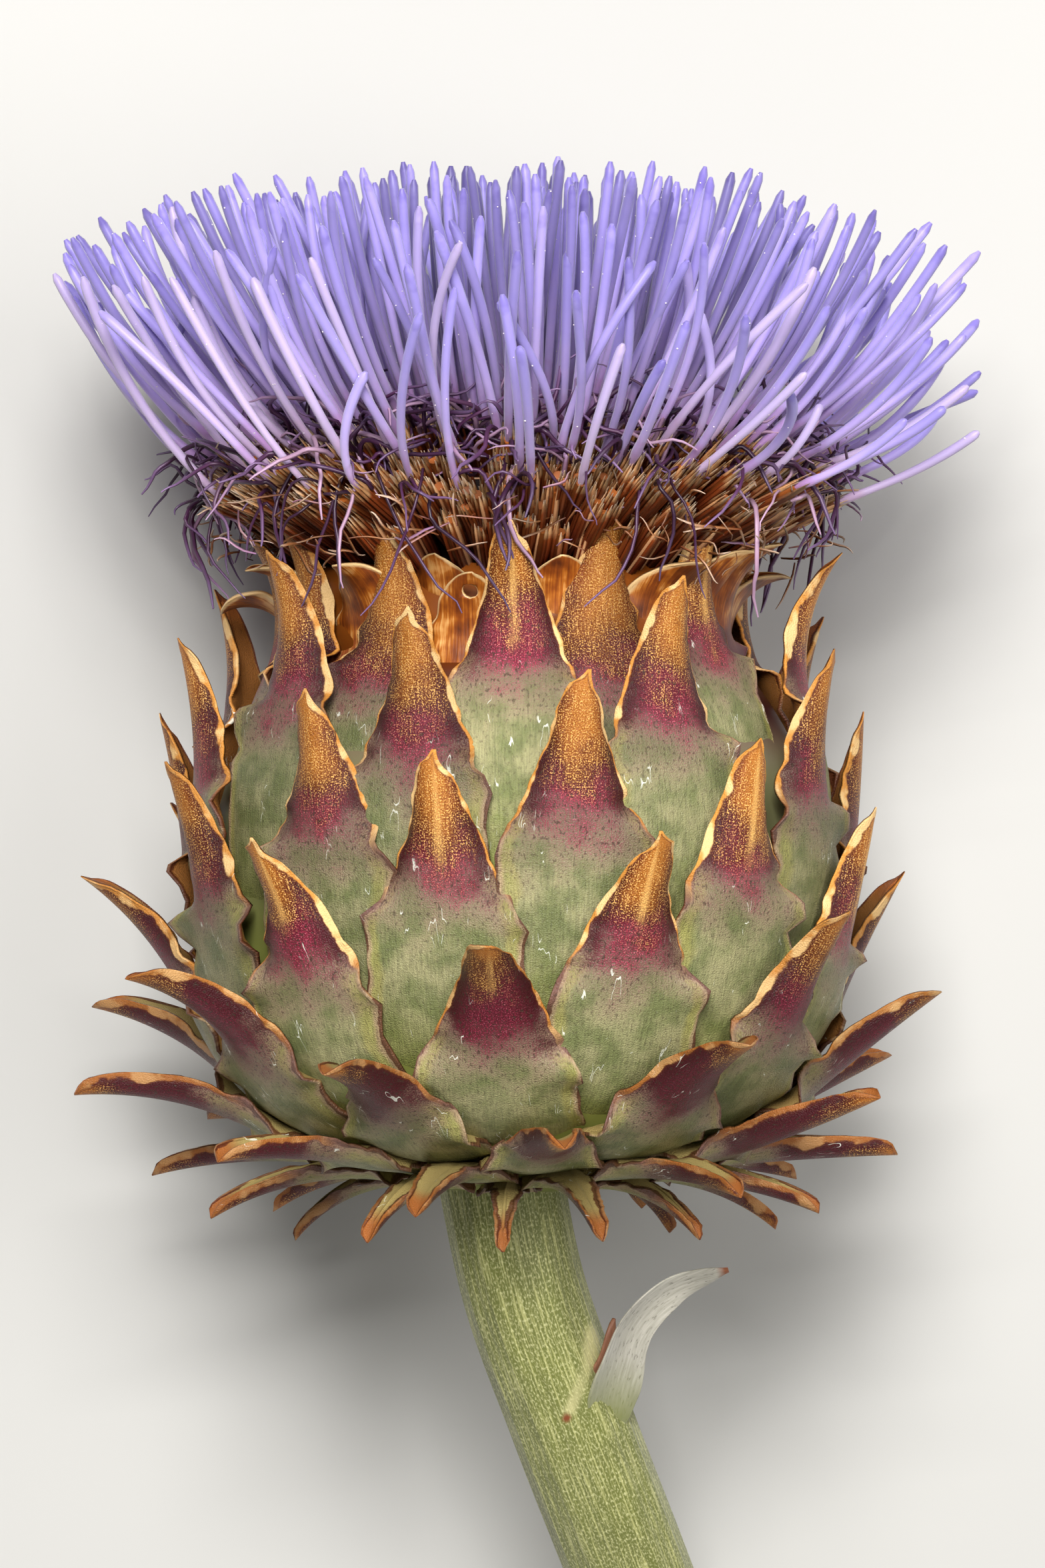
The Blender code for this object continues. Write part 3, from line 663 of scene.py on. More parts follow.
def dry_bract(look):
    """Papery dry bract: a thin brittle scale, like onion skin, polished by its fibres."""
    made, tree, shader = new_material(
        "dry_papery_bract", IOR=1.45, Subsurface_Weight=0.12,
        Subsurface_Radius=(0.002, 0.001, 0.0005), Subsurface_Scale=1.0,
    )
    edge, to_tip, tone = (
        add(tree, "ShaderNodeAttribute", out="Fac", attribute_name=name)
        for name in ("edge", "to_tip", "tone")
    )
    # Fibres every third of a millimetre
    veins, cloud = fibre_noise(tree, (30, 1.6, 4), (2.2, 2.2, 3))
    mixed, rim = (
        add(tree, "ShaderNodeMath", {0: noise, 1: by, 2: base}, operation="MULTIPLY_ADD")
        for noise, by, base in ((veins, 0.5, cloud), (cloud, -1.2, edge))
    )
    shade = add(
        tree, "ShaderNodeValToRGB", {0: mixed}, stops=(
            (0.56, linear("#54240a")), (0.72, linear("#84400f")), (0.86, look.amber),
        ),
    )
    shade = painted(tree, shade, (
        (mixed, 0.82, 1.0, 1, "LINEAR", linear("#e8b671")),
        (to_tip, 11.0, 17.0, 1, "SMOOTHSTEP", linear("#5b1c2b")),
        (rim, -0.1, -0.4, 0.8, "LINEAR", linear("#e9c48c")),
    ))
    tone = add(tree, "ShaderNodeMapRange", {"Value": tone, "To Min": 0.8, "To Max": 1.15})
    shade = add(tree, "ShaderNodeVectorMath", {0: shade, "Scale": tone}, operation="SCALE")
    relieve(tree, shader, shade, 0.42, veins, 0.5, 0.15 * MM)
    return made


def strand_material(name, ramp, rough, constants, speckle=None):
    """A thread of plant tissue, coloured along its length, and a little unlike its kin."""
    made, tree, shader = new_material(name, **constants)
    along, tone = (
        add(tree, "ShaderNodeAttribute", out="Fac", attribute_name=name)
        for name in ("along", "tone")
    )
    place = add(tree, "ShaderNodeTexCoord", out="Object")
    cloud = add(tree, "ShaderNodeTexNoise", {"Vector": place, "Scale": 420, "Detail": 2})
    shift = add(tree, "ShaderNodeMath", {0: cloud, 1: 0.3, 2: -0.15}, operation="MULTIPLY_ADD")
    where = add(tree, "ShaderNodeMath", {0: along, 1: shift})
    shade = add(tree, "ShaderNodeValToRGB", {0: where}, stops=ramp)
    if speckle:
        most, odd = speckle
        shade = painted(tree, shade, ((tone, 0.8, 0.95, most, "LINEAR", odd),))
    # Strands are lighter or darker at random, and the dark end of this range is painted shade
    # standing in for the gaps between the styles.
    bright = add(tree, "ShaderNodeMapRange", {"Value": tone, "To Min": 0.4, "To Max": 1.25})
    shade = add(tree, "ShaderNodeVectorMath", {0: shade, "Scale": bright}, operation="SCALE")
    relieve(tree, shader, shade, rough, cloud, 0.25, 0.1 * MM)
    return made


def spiral_places(chance):
    """Every green bract in turn, with its middle line, as the part draws them."""
    for place in range(FIRST_PLACE, LAST_PLACE + 1):
        azimuth = MIDDLE_AZIMUTH + DIVERGENCE * place + ASIDE.get(place, 0)
        azimuth += chance.normal() * AZIMUTH_SPREAD
        lean = math.radians(values_at(TIP_LEAN, place)) + chance.normal() * LEAN_SPREAD
        askew = values_at(ASKEW, place) * math.sin(azimuth)
        shoulder = (values_at(SHOULDER_ARC, place) - askew) * MM
        body = min(values_at(BODY_LENGTH, place) * MM, shoulder)
        tip = values_at(TIP_LENGTH, place) * MM
        while True:
            middle = green_middle(shoulder, body, tip, lean)
            drop = (-AXIS_HEIGHT - middle[1] * math.cos(azimuth)).max()
            slant = max(0, math.sin(middle[3][-1]))
            if drop <= FLAT_SPOT * slant or lean > math.pi / 2:
                break
            lean += math.radians(1)
        rolled = values_at(ROLLED, place)
        yield SimpleNamespace(
            place=place, azimuth=azimuth, half_width=values_at(HALF_WIDTH, place) * MM,
            body=body, tip=tip, middle=middle, thick=(BRACT_THICK, TIP_THICK_SHARE),
            tip_widths=blended(TIP_WIDTHS, ROLLED_WIDTHS, rolled),
            tip_curl=blended(TIP_CURL, ROLLED_CURL, rolled),
        )


def green_middle(shoulder, body, tip, lean, sunk=0.0):
    """The middle line of a bract that hugs the globe up to its shoulder."""
    steps = np.linspace(0, 1, 25)
    under = body * (1 - steps)
    radius, height, angle = on_globe(shoulder - under, SHINGLE * under + sunk)
    angle = angle - math.atan(SHINGLE)
    free = np.interp(steps[1:], (0, 1), (angle[-1], 2 * lean - angle[-1]))
    stride = tip / (len(steps) - 1)
    radius = np.concatenate([radius, radius[-1] + np.cumsum(np.cos(free)) * stride])
    height = np.concatenate([height, height[-1] + np.cumsum(np.sin(free)) * stride])
    distance = np.concatenate([steps * body, body + steps[1:] * tip])
    return distance, radius, height, np.concatenate([angle, free])


def tip_width(bract, share, across, chance):
    """Width of a tip as a share of the bract's.

    One side of it reaches higher than the other, so its point stands off the middle.
    """
    late = np.clip((share - 0.55) / 0.45, 0, 1)
    skew = chance.uniform(0.03, 0.07) * chance.choice((-1, 1))
    slid = share + np.where(across < 0, skew, -skew) * 4 * late * (1 - late)
    smooth, sharp = rounded(bract.tip_widths, slid), values_at(bract.tip_widths, slid)
    return np.where(slid < 0.85, smooth, sharp)


def margin_shape(bract, distance, across, margin, chance):
    """Wave, ripple and tears of a bract's margin, which each side has its own of."""
    strength, slip, phase, pitch = (
        np.where(across < 0, *pair) for pair in (
            chance.uniform(0.6, 1.35, 2), chance.uniform(-0.06, 0.06, 2),
            chance.uniform(0, math.tau, 2), chance.uniform(2.6, 4.0, 2),
        )
    )
    past = distance - bract.body
    wave = rounded(WAVE, past / bract.tip + slip) * MM
    wave = wave * strength * bract.half_width / WAVE_WIDTH
    window = np.exp(-(past / (8 * MM)) ** 2)
    ripple = margin * 0.35 * np.sin(math.tau * distance / (pitch * MM) + phase) * window
    knots = np.linspace(0, 1, 48)
    torn = np.where(across < 0, *(
        np.interp(distance / (bract.body + bract.tip), knots, chance.normal(size=len(knots)))
        for _ in range(2)
    ))
    return wave, ripple, torn


def bract_thickness(bract, distance, edgeward):
    """How thick a bract is: less towards its margin, and least at its point."""
    full, end = bract.thick
    whole = bract.body + bract.tip
    thick = full * (1 - (1 - end) * (distance / whole) ** THINNING)
    thick = np.maximum(thick * (1 - 0.85 * edgeward**3), MARGIN_THICK)
    point = np.clip((whole - distance) / (3 * MM), 0, 1)
    return POINT_THICK + (thick - POINT_THICK) * point


def bract_shell(bract, margin, chance):
    """Outer and inner face of a bract, its marks for the finish and its fibres."""
    share = np.concatenate([
        np.linspace(-1, 0, BODY_ROWS, endpoint=False), np.linspace(0, 1, TIP_ROWS) ** 0.9
    ])
    across = np.sin(np.linspace(-math.pi / 2, math.pi / 2, COLUMNS))[None, :]
    edgeward = np.abs(across)
    distance = np.where(share < 0, bract.body * (1 + share), bract.body + bract.tip * share)
    steps, *values = bract.middle
    radius, height, angle = (np.interp(distance, steps, v)[:, None] for v in values)
    share, distance = share[:, None], distance[:, None]
    on_body = share < 0
    reach = (distance - bract.body) / bract.tip
    tipward = np.clip(share, 0, 1)
    half = bract.half_width * np.where(
        on_body, rounded(BODY_WIDTHS, 1 + share), tip_width(bract, share, across, chance)
    )
    curl = np.where(
        on_body, BODY_CURL * half / np.maximum(radius, 2 * half),
        np.radians(rounded(bract.tip_curl, share)),
    )
    slant = curl * across
    wave, ripple, torn = margin_shape(bract, distance, across, margin, chance)
    sideways = np.sin(slant) / curl * half
    sideways = sideways * (1 + ripple / bract.half_width * edgeward**4)
    sideways = sideways + np.sign(across) * edgeward**6 * torn * TEAR * (reach > -0.3)
    sideways = sideways + chance.normal() * SWAY * tipward**2
    outward = -(1 - np.cos(slant)) / curl * half + wave * edgeward**3
    outward = outward + ripple * edgeward**5
    # The margin is thickened like a hem.
    hem = np.exp(-((edgeward - 0.97) / 0.035) ** 2) * np.clip(1 + 0.5 * torn, 0.2, 1.6)
    outward = outward + HEM * hem * np.clip(4 * (1 - share), 0, 1)
    outward = outward + MIDRIB * np.exp(-(across / 0.13) ** 2) * tipward * (1 - tipward)
    azimuth = bract.azimuth
    ahead = np.array([math.sin(azimuth), -math.cos(azimuth), 0])
    aside = np.array([math.cos(azimuth), math.sin(azimuth), 0])

    def face(depth):
        """The points this far under the outer face, where they lie."""
        out = outward - depth * np.cos(slant)
        side = sideways - depth * np.sin(slant)
        r = radius + out * np.sin(angle)
        h = height - out * np.cos(angle)
        return laid(r[..., None] * ahead + side[..., None] * aside + h[..., None] * UPRIGHT)

    # The margin's bands reach further in on the side that faces up: the real dry margin, widened
    # there with painted light where that edge catches it.
    edge = (1 - edgeward) * half / MM * (1 + 0.45 * math.sin(azimuth) * np.sign(across))
    to_tip = (bract.body + bract.tip - distance) / MM
    marks = {"edge": edge, "to_tip": to_tip, "reach": reach, "flank": edgeward}
    marks = {mark: value + 0 * edge for mark, value in marks.items()}
    fibres = np.stack([across * half / CM, distance / CM + 0 * across], -1)
    fibres += chance.uniform(0, 9, 2)
    return face(0), face(bract_thickness(bract, distance, edgeward)), marks, fibres


def bract_group(name, bracts, finish, margin, chance):
    """One piece of many bracts, each a closed shell."""
    points, faces, fibres = [], [], []
    marks = {mark: [] for mark in BRACT_MARKS}
    start = 0
    for bract in bracts:
        outer, inner, own, uv = bract_shell(bract, margin, chance)
        rows, columns = outer.shape[:2]
        # The colours begin a little higher or lower on each, and higher at its flanks.
        shift = chance.normal() * GOLD_SPREAD
        gold = values_at(GOLD_FROM, bract.place) + shift + 0.3 * own["flank"] ** 2
        purple = values_at(PURPLE_FROM, bract.place) + 0.8 * shift + 0.1 * own["flank"] ** 2
        own["past_gold"] = (own["reach"] - gold) * bract.tip / MM
        own["past_purple"] = (own["reach"] - purple) * bract.tip / MM
        rise = (bract.place - FIRST_PLACE) / (LAST_PLACE - FIRST_PLACE)
        for mark, value in (("tone", chance.uniform()), ("rise", rise), ("inside", 0.0)):
            own[mark] = np.full((rows, columns), value)
        hole = hasattr(bract, "hole_radius")
        if hole:
            loop = hole_loop()
            for side in (outer, inner):
                centre = side[loop].mean(0)
                side[loop] = centre + unit(side[loop] - centre) * bract.hole_radius
            own["edge"][loop] = 0
        for mark, found in marks.items():
            both = own[mark], own[mark] + (mark == "inside")
            found.append(np.concatenate([side.ravel() for side in both]))
        points += [outer.reshape(-1, 3), inner.reshape(-1, 3)]
        fibres += [uv.reshape(-1, 2)] * 2
        faces.append(shell_faces(rows, columns, hole) + start)
        start += 2 * rows * columns
    return mesh_piece(
        name, np.concatenate(points), np.concatenate(faces), finish,
        {mark: np.concatenate(found) for mark, found in marks.items()}, np.concatenate(fibres),
    )


def finish_piece(piece, slot, *nodes):
    """Puts a finished piece on the part's one body, for the nodes that it stands for."""
    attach(piece, BODY)
    if nodes:
        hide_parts(*nodes)


def new_tree(name, inputs):
    """An empty tree of geometry nodes with named inputs, and what its input node gives."""
    tree = bpy.data.node_groups.new(name, "GeometryNodeTree")
    for label, kind in inputs.items():
        tree.interface.new_socket(label, in_out="INPUT", socket_type="NodeSocket" + kind)
    tree.interface.new_socket("Made", in_out="OUTPUT", socket_type="NodeSocketGeometry")
    return tree, tree.nodes.new("NodeGroupInput").outputs


def end_tree(tree, made, finish):
    """Ends a tree in one smooth mesh with its finish."""
    made = add(tree, "GeometryNodeSetShadeSmooth", {"Geometry": made})
    made = add(tree, "GeometryNodeRealizeInstances", {"Geometry": made})
    made = add(tree, "GeometryNodeSetMaterial", {"Geometry": made, "Material": finish})
    add(tree, "NodeGroupOutput", {"Made": made})
    return tree


def strand_path(tree, source, share, stout):
    """Where a strand's points go: along a curve from start over bend to end.

    It sways to one side and wanders a little, and never sinks into the table.
    """
    *path, sway = (
        add(
            tree, "GeometryNodeInputNamedAttribute", {"Name": mark},
            data_type="FLOAT_VECTOR",
        )
        for mark in ("start", "bend", "end", "sway")
    )
    # Mixed twice over, three points make a curve.
    while len(path) > 1:
        path = [
            add(tree, "ShaderNodeMix", {0: share, 4: a, 5: b}, out=1, data_type="VECTOR")
            for a, b in zip(path, path[1:])
        ]
    turn = add(tree, "ShaderNodeMath", {0: share, 1: source["Turns"]}, operation="MULTIPLY")
    phase = add(
        tree, "ShaderNodeMath", {0: stout, 1: 90.0, 2: turn}, operation="MULTIPLY_ADD"
    )
    swing = add(tree, "ShaderNodeMath", {0: phase}, operation="SINE")
    swing = add(tree, "ShaderNodeMath", {0: swing, 1: share}, operation="MULTIPLY")
    offset = add(tree, "ShaderNodeVectorMath", {0: sway, "Scale": swing}, operation="SCALE")
    place = add(tree, "ShaderNodeVectorMath", {0: path[0], 1: offset})
    noise = add(
        tree, "ShaderNodeTexNoise", {"Vector": place, "Scale": 160.0, "Detail": 1.0},
        out="Color",
    )
    noise = add(
        tree, "ShaderNodeVectorMath", {0: noise, 1: (0.5, 0.5, 0.5)}, operation="SUBTRACT"
    )
    amount = add(
        tree, "ShaderNodeMath", {0: share, 1: source["Wander"]}, operation="MULTIPLY"
    )
    noise = add(tree, "ShaderNodeVectorMath", {0: noise, "Scale": amount}, operation="SCALE")
    place = add(tree, "ShaderNodeVectorMath", {0: place, 1: noise})
    x, y, z = add(tree, "ShaderNodeSeparateXYZ", {0: place}).node.outputs
    least = add(
        tree, "ShaderNodeMath", {0: source["Radius"], 1: 1.15}, operation="MULTIPLY"
    )
    z = add(tree, "ShaderNodeMath", {0: z, 1: least}, operation="MAXIMUM")
    return add(tree, "ShaderNodeCombineXYZ", {"X": x, "Y": y, "Z": z})


def strand_tree(name, taper):
    """Geometry nodes that draw a bent, tapered strand from each point of a mesh.

    Each point carries where its strand starts, bends and ends, and which way it sways.
    """
    tree, source = new_tree(name, {
        "Points": "Geometry", "Steps": "Int", "Sides": "Int", "Radius": "Float",
        "Spread": "Float", "Turns": "Float", "Wander": "Float", "Seed": "Int",
        "Finish": "Material",
    })
    least = add(tree, "ShaderNodeMath", {0: 1.0, 1: source["Spread"]}, operation="SUBTRACT")
    most = add(tree, "ShaderNodeMath", {0: 1.0, 1: source["Spread"]})
    stout = add(
        tree, "FunctionNodeRandomValue", {2: least, 3: most, "Seed": source["Seed"]}, out=1
    )
    points = add(
        tree, "GeometryNodeStoreNamedAttribute",
        {"Geometry": source["Points"], "Name": "stout", "Value": stout},
    )
    line = add(tree, "GeometryNodeCurvePrimitiveLine", {"End": (0.0, 0.0, 1.0)})
    line = add(tree, "GeometryNodeResampleCurve", {"Curve": line, "Count": source["Steps"]})
    lines = add(tree, "GeometryNodeInstanceOnPoints", {"Points": points, "Instance": line})
    lines = add(tree, "GeometryNodeRealizeInstances", {"Geometry": lines})
    along = add(tree, "GeometryNodeSplineParameter", out="Factor")
    stout = add(tree, "GeometryNodeInputNamedAttribute", {"Name": "stout"})
    # Points crowd towards the strand's end, which is rounded off.
    rest = add(tree, "ShaderNodeMath", {0: 1.0, 1: along}, operation="SUBTRACT")
    rest = add(tree, "ShaderNodeMath", {0: rest, 1: 1.4}, operation="POWER")
    share = add(tree, "ShaderNodeMath", {0: 1.0, 1: rest}, operation="SUBTRACT")
    place = strand_path(tree, source, share, stout)
    lines = add(tree, "GeometryNodeSetPosition", {"Geometry": lines, "Position": place})
    lines = add(
        tree, "GeometryNodeStoreNamedAttribute",
        {"Geometry": lines, "Name": "along", "Value": along},
    )
    thick = add(tree, "ShaderNodeFloatCurve", {"Factor": 1.0, "Value": along}, stops=taper)
    for factor in (source["Radius"], stout):
        thick = add(tree, "ShaderNodeMath", {0: thick, 1: factor}, operation="MULTIPLY")
    profile = add(
        tree, "GeometryNodeCurvePrimitiveCircle",
        {"Resolution": source["Sides"], "Radius": 1.0},
    )
    skin = add(
        tree, "GeometryNodeCurveToMesh",
        {"Curve": lines, "Profile Curve": profile, "Scale": thick, "Fill Caps": True},
    )
    return end_tree(tree, skin, source["Finish"])


def grown(name, base, tree, settings):
    """The plain mesh that geometry nodes make from a base mesh, as a new object."""
    nodes = base.modifiers.new("grown", "NODES")
    nodes.node_group = tree
    for item in tree.interface.items_tree:
        if item.in_out == "INPUT" and item.name in settings:
            nodes[item.identifier] = settings[item.name]
    bpy.context.view_layer.update()
    graph = bpy.context.evaluated_depsgraph_get()
    mesh = bpy.data.meshes.new_from_object(base.evaluated_get(graph))
    base.modifiers.remove(nodes)
    if not len(mesh.polygons):
        raise RuntimeError(f"{name} came out empty")
    mesh.name = name
    return shown(name, mesh)


def strands(name, lines, tree, **settings):
    """One piece of many strands, from arrays of their points in the laid frame."""
    mesh = bpy.data.meshes.new(name + "_points")
    mesh.from_pydata(lines["start"].tolist(), [], [])
    for mark in ("start", "bend", "end", "sway"):
        attribute = mesh.attributes.new(mark, "FLOAT_VECTOR", "POINT")
        attribute.data.foreach_set("vector", lines[mark].astype(np.float32).ravel())
    tone = mesh.attributes.new("tone", "FLOAT", "POINT")
    tone.data.foreach_set("value", lines["tone"].astype(np.float32))
    base = shown(name + "_points", mesh)
    made = grown(name, base, tree, settings)
    bpy.data.objects.remove(base)
    bpy.data.meshes.remove(mesh)
    return made


def floret_places(count, chance):
    """Azimuth and joint, root and tip of every floret, in the upright head's frame."""
    number = np.arange(count)
    share = np.sqrt((number + 0.5) / count)
    azimuth = DIVERGENCE * number + chance.normal(size=count) * FLORET_AZIMUTH_SPREAD
    spots = {}
    for name, table in (("root", TUBE_ROOT), ("joint", JOINT), ("tip", STYLE_TIP)):
        places, radii, heights = np.array(table).T
        spots[name] = np.stack(
            [np.interp(share, places, radii), np.interp(share, places, heights)]
        ) * MM
    stretch = 1 + chance.uniform(-1, 1, count) * STYLE_LENGTH_SPREAD
    # Some of the outer styles are still short.
    short = (chance.uniform(size=count) < SHORT_SHARE) & (share > 0.6)
    stretch = np.where(short, stretch * chance.uniform(*SHORTENED, count), stretch)
    spots["joint"] = spots["joint"] + chance.normal(size=(2, count)) * JOINT_SPREAD * share
    spots["tip"][1] -= STYLE_DROOP * share**8 * np.sin(azimuth)
    spots["tip"] = spots["joint"] + (spots["tip"] - spots["joint"]) * stretch
    spots["tip"][1] = np.minimum(spots["tip"][1], BLOOM_TOP * MM)
    return share, azimuth, spots


def unit(vectors):
    """The vectors, one metre long each."""
    return vectors / np.linalg.norm(vectors, axis=-1, keepdims=True)


class ARTICHOKE_OT_bracts(bpy.types.Operator):
    """Make the green bracts, in three tiers, and the heart that they grow from."""

    bl_idname = "artichoke.bracts"
    bl_label = "Green Bracts"

    def execute(self, context):
        look = context.scene.artichoke_bracts
        finish = waxy_bract(look)
        depth = values_at(HEART_DEPTH, GLOBE_ARC / MM) * MM
        radius, height, _ = on_globe(GLOBE_ARC, depth)
        keep = height < HEART_TOP - MM
        sides = np.stack([radius[keep], height[keep]], -1)[::-6] / MM
        top, foot = HEART_TOP / MM, sides[-1][1]
        outline = [(0.05, top), (sides[0][0], top), *map(tuple, sides), (0.05, foot)]
        heart = turned_piece(
            "head_heart", outline, finish,
            {
                "edge": 9, "to_tip": 30, "tone": 0.1, "flank": 1,
                "past_gold": [height - DARK_ABOVE - 4 for _, height in outline],
                "past_purple": [height - DARK_ABOVE for _, height in outline],
            },
        )
        every = list(spiral_places(np.random.default_rng(SEED)))
        chance = np.random.default_rng(SEED + 10)
        for name, first, last in TIERS:
            own = [bract for bract in every if first <= bract.place <= last]
            tier = bract_group(name, own, finish, look.margin, chance)
            finish_piece(tier, "green_bract", "bract_head")
        finish_piece(heart, "green_bract", "bract_head")
        return {"FINISHED"}


class ARTICHOKE_OT_papery(bpy.types.Operator):
    """Make the dry papery bracts that bend outwards under the florets."""

    bl_idname = "artichoke.papery"
    bl_label = "Papery Bracts"

    def execute(self, context):
        look = context.scene.artichoke_bracts
        finish = dry_bract(look)
        chance = np.random.default_rng(SEED + 11)
        upright, flared = [], []
        for place in range(LAST_PLACE + 1, LAST_PLACE + 1 + UPRIGHT_COUNT):
            shoulder = UPRIGHT_ARC + chance.uniform(-1.5, 2) * MM
            lean = UPRIGHT_LEAN + chance.normal() * LEAN_SPREAD
            middle = green_middle(shoulder, UPRIGHT_BODY, UPRIGHT_TIP, lean, UPRIGHT_SUNK)
            upright.append(SimpleNamespace(
                place=place, azimuth=MIDDLE_AZIMUTH + DIVERGENCE * place,
                half_width=UPRIGHT_HALF_WIDTH, body=UPRIGHT_BODY, tip=UPRIGHT_TIP,
                middle=middle, tip_widths=TIP_WIDTHS, tip_curl=TIP_CURL,
                thick=UPRIGHT_THICK,
            ))
        inner = bract_group(
            "inner_bracts", upright, waxy_bract(look), look.margin, chance
        )
        finish_piece(inner, "papery_bract", "papery_bracts")
        for i in range(FLARED_COUNT):
            azimuth = MIDDLE_AZIMUTH + DIVERGENCE * (LAST_PLACE + 1 + UPRIGHT_COUNT + i)
            steep = abs(math.cos(azimuth))
            tip = FLARED_TIP * chance.uniform(FLARED_SHORTEST, FLARED_LONGEST)
            tip *= 1 - (1 - STEEP_SHARE) * steep
            lean = FLARED_LEAN + steep * STEEPER + chance.uniform(-1, 1) * FLARED_SPREAD
            shoulder = FLARED_ARC + chance.uniform(-1, 2.5) * MM
            sunk = FLARED_SUNK + FLARED_STEP * i
            flared.append(SimpleNamespace(
                place=LAST_PLACE, azimuth=azimuth, half_width=FLARED_HALF_WIDTH,
                body=UPRIGHT_BODY, tip=tip, thick=FLARED_THICK,
                middle=green_middle(shoulder, UPRIGHT_BODY, tip, lean, sunk),
                tip_widths=FLARED_WIDTHS, tip_curl=FLARED_CURL,
            ))
        # The hole goes in the dry bract that stands nearest to its spot.
        bitten = min(flared, key=lambda bract: abs(
            math.remainder(bract.azimuth - HOLE_AZIMUTH, math.tau)
        ))
        bitten.hole_radius = look.hole
        papery = bract_group("papery_bracts_fine", flared, finish, look.margin, chance)
        finish_piece(papery, "papery_bract", "papery_bracts")
        collar = turned_piece(
            "papery_collar", COLLAR_OUTLINE, finish, {"edge": 9, "to_tip": 8, "tone": 0.0}
        )
        finish_piece(collar, "papery_bract", "papery_bracts")
        return {"FINISHED"}


def kept_within(points, reach):
    """The points, drawn in where they stand further from the head's axis than a reach."""
    away = np.hypot(points[:, 0], points[:, 1])
    points[:, :2] *= np.minimum(1, reach / away)[:, None]
    return points


def bare_tufts(clearance, chance):
    """Root and joint of the tufts that have dropped their florets."""
    azimuth = np.arange(BARE_COUNT) * DIVERGENCE + 1.0
    lag = chance.uniform(-6, 8, BARE_COUNT) * MM
    (root_radius, root_height), (radius, height) = BARE_ROOT, BARE_JOINT
    root = around(azimuth, root_radius * MM - lag / 8, root_height * MM - lag * 0.6)
    joint = around(
        azimuth, radius * MM - lag * np.where(lag > 0, 0.9, -0.5),
        height * MM + chance.uniform(-1.5, 1.5, BARE_COUNT) * MM - lag * 0.55,
    )
    return laid(root, clearance), laid(joint, clearance)


def strand_lines(start, bend, end, sway, chance):
    """Where strands start, bend and end, how far they sway to any side, and their tones."""
    side = unit(chance.normal(size=start.shape)) * sway if sway else np.zeros_like(start)
    return {
        "start": start, "bend": bend, "end": end, "sway": side,
        "tone": chance.uniform(size=len(start)),
    }


def bristle_lines(foot, top, tube_radius, chance):
    """Bristles in a ring round each tube, up to its top or a little past it."""
    along = unit(top - foot)
    # Two directions across each tube, from one that no tube points in
    level = unit(np.cross(along, [0.3, 0.5, 0.81]))
    other = np.cross(along, level)
    start, bend, end = [], [], []
    for i in range(BRISTLES_PER_TUBE):
        turn = math.tau * i / BRISTLES_PER_TUBE + chance.uniform(0, 0.6, len(foot))
        ring = (level * np.cos(turn)[:, None] + other * np.sin(turn)[:, None]) * tube_radius
        past = chance.uniform(-0.4, 1.7, (len(foot), 1)) * MM
        flare = chance.uniform(0.65, 0.95, (len(foot), 1))
        start.append(foot + ring * 0.6)
        bend.append((foot + top) / 2 + ring)
        end.append(top + along * past + ring * flare)
    return strand_lines(*(np.concatenate(points) for points in (start, bend, end)), 0, chance)


def style_lines(share, azimuth, spots, clearance, chance):
    """Bend and end of each style, with the strays that lean across the others."""
    count = len(share)
    bend = spots["joint"] + (spots["tip"] - spots["joint"]) * np.array(STYLE_BEND)[:, None]
    bend = around(azimuth, *bend) + chance.normal(size=(count, 3)) * BEND_SPREAD
    lean = chance.normal(size=(count, 3)) * (STYLE_LEAN * share)[:, None]
    lean *= np.where(chance.uniform(size=(count, 1)) < STRAY_SHARE, STRAY_LEAN, 1)
    tip = kept_within(around(azimuth, *spots["tip"]) + lean * (1, 1, 0), BLOOM_RADIUS * MM)
    return laid(bend, clearance), laid(tip, clearance)


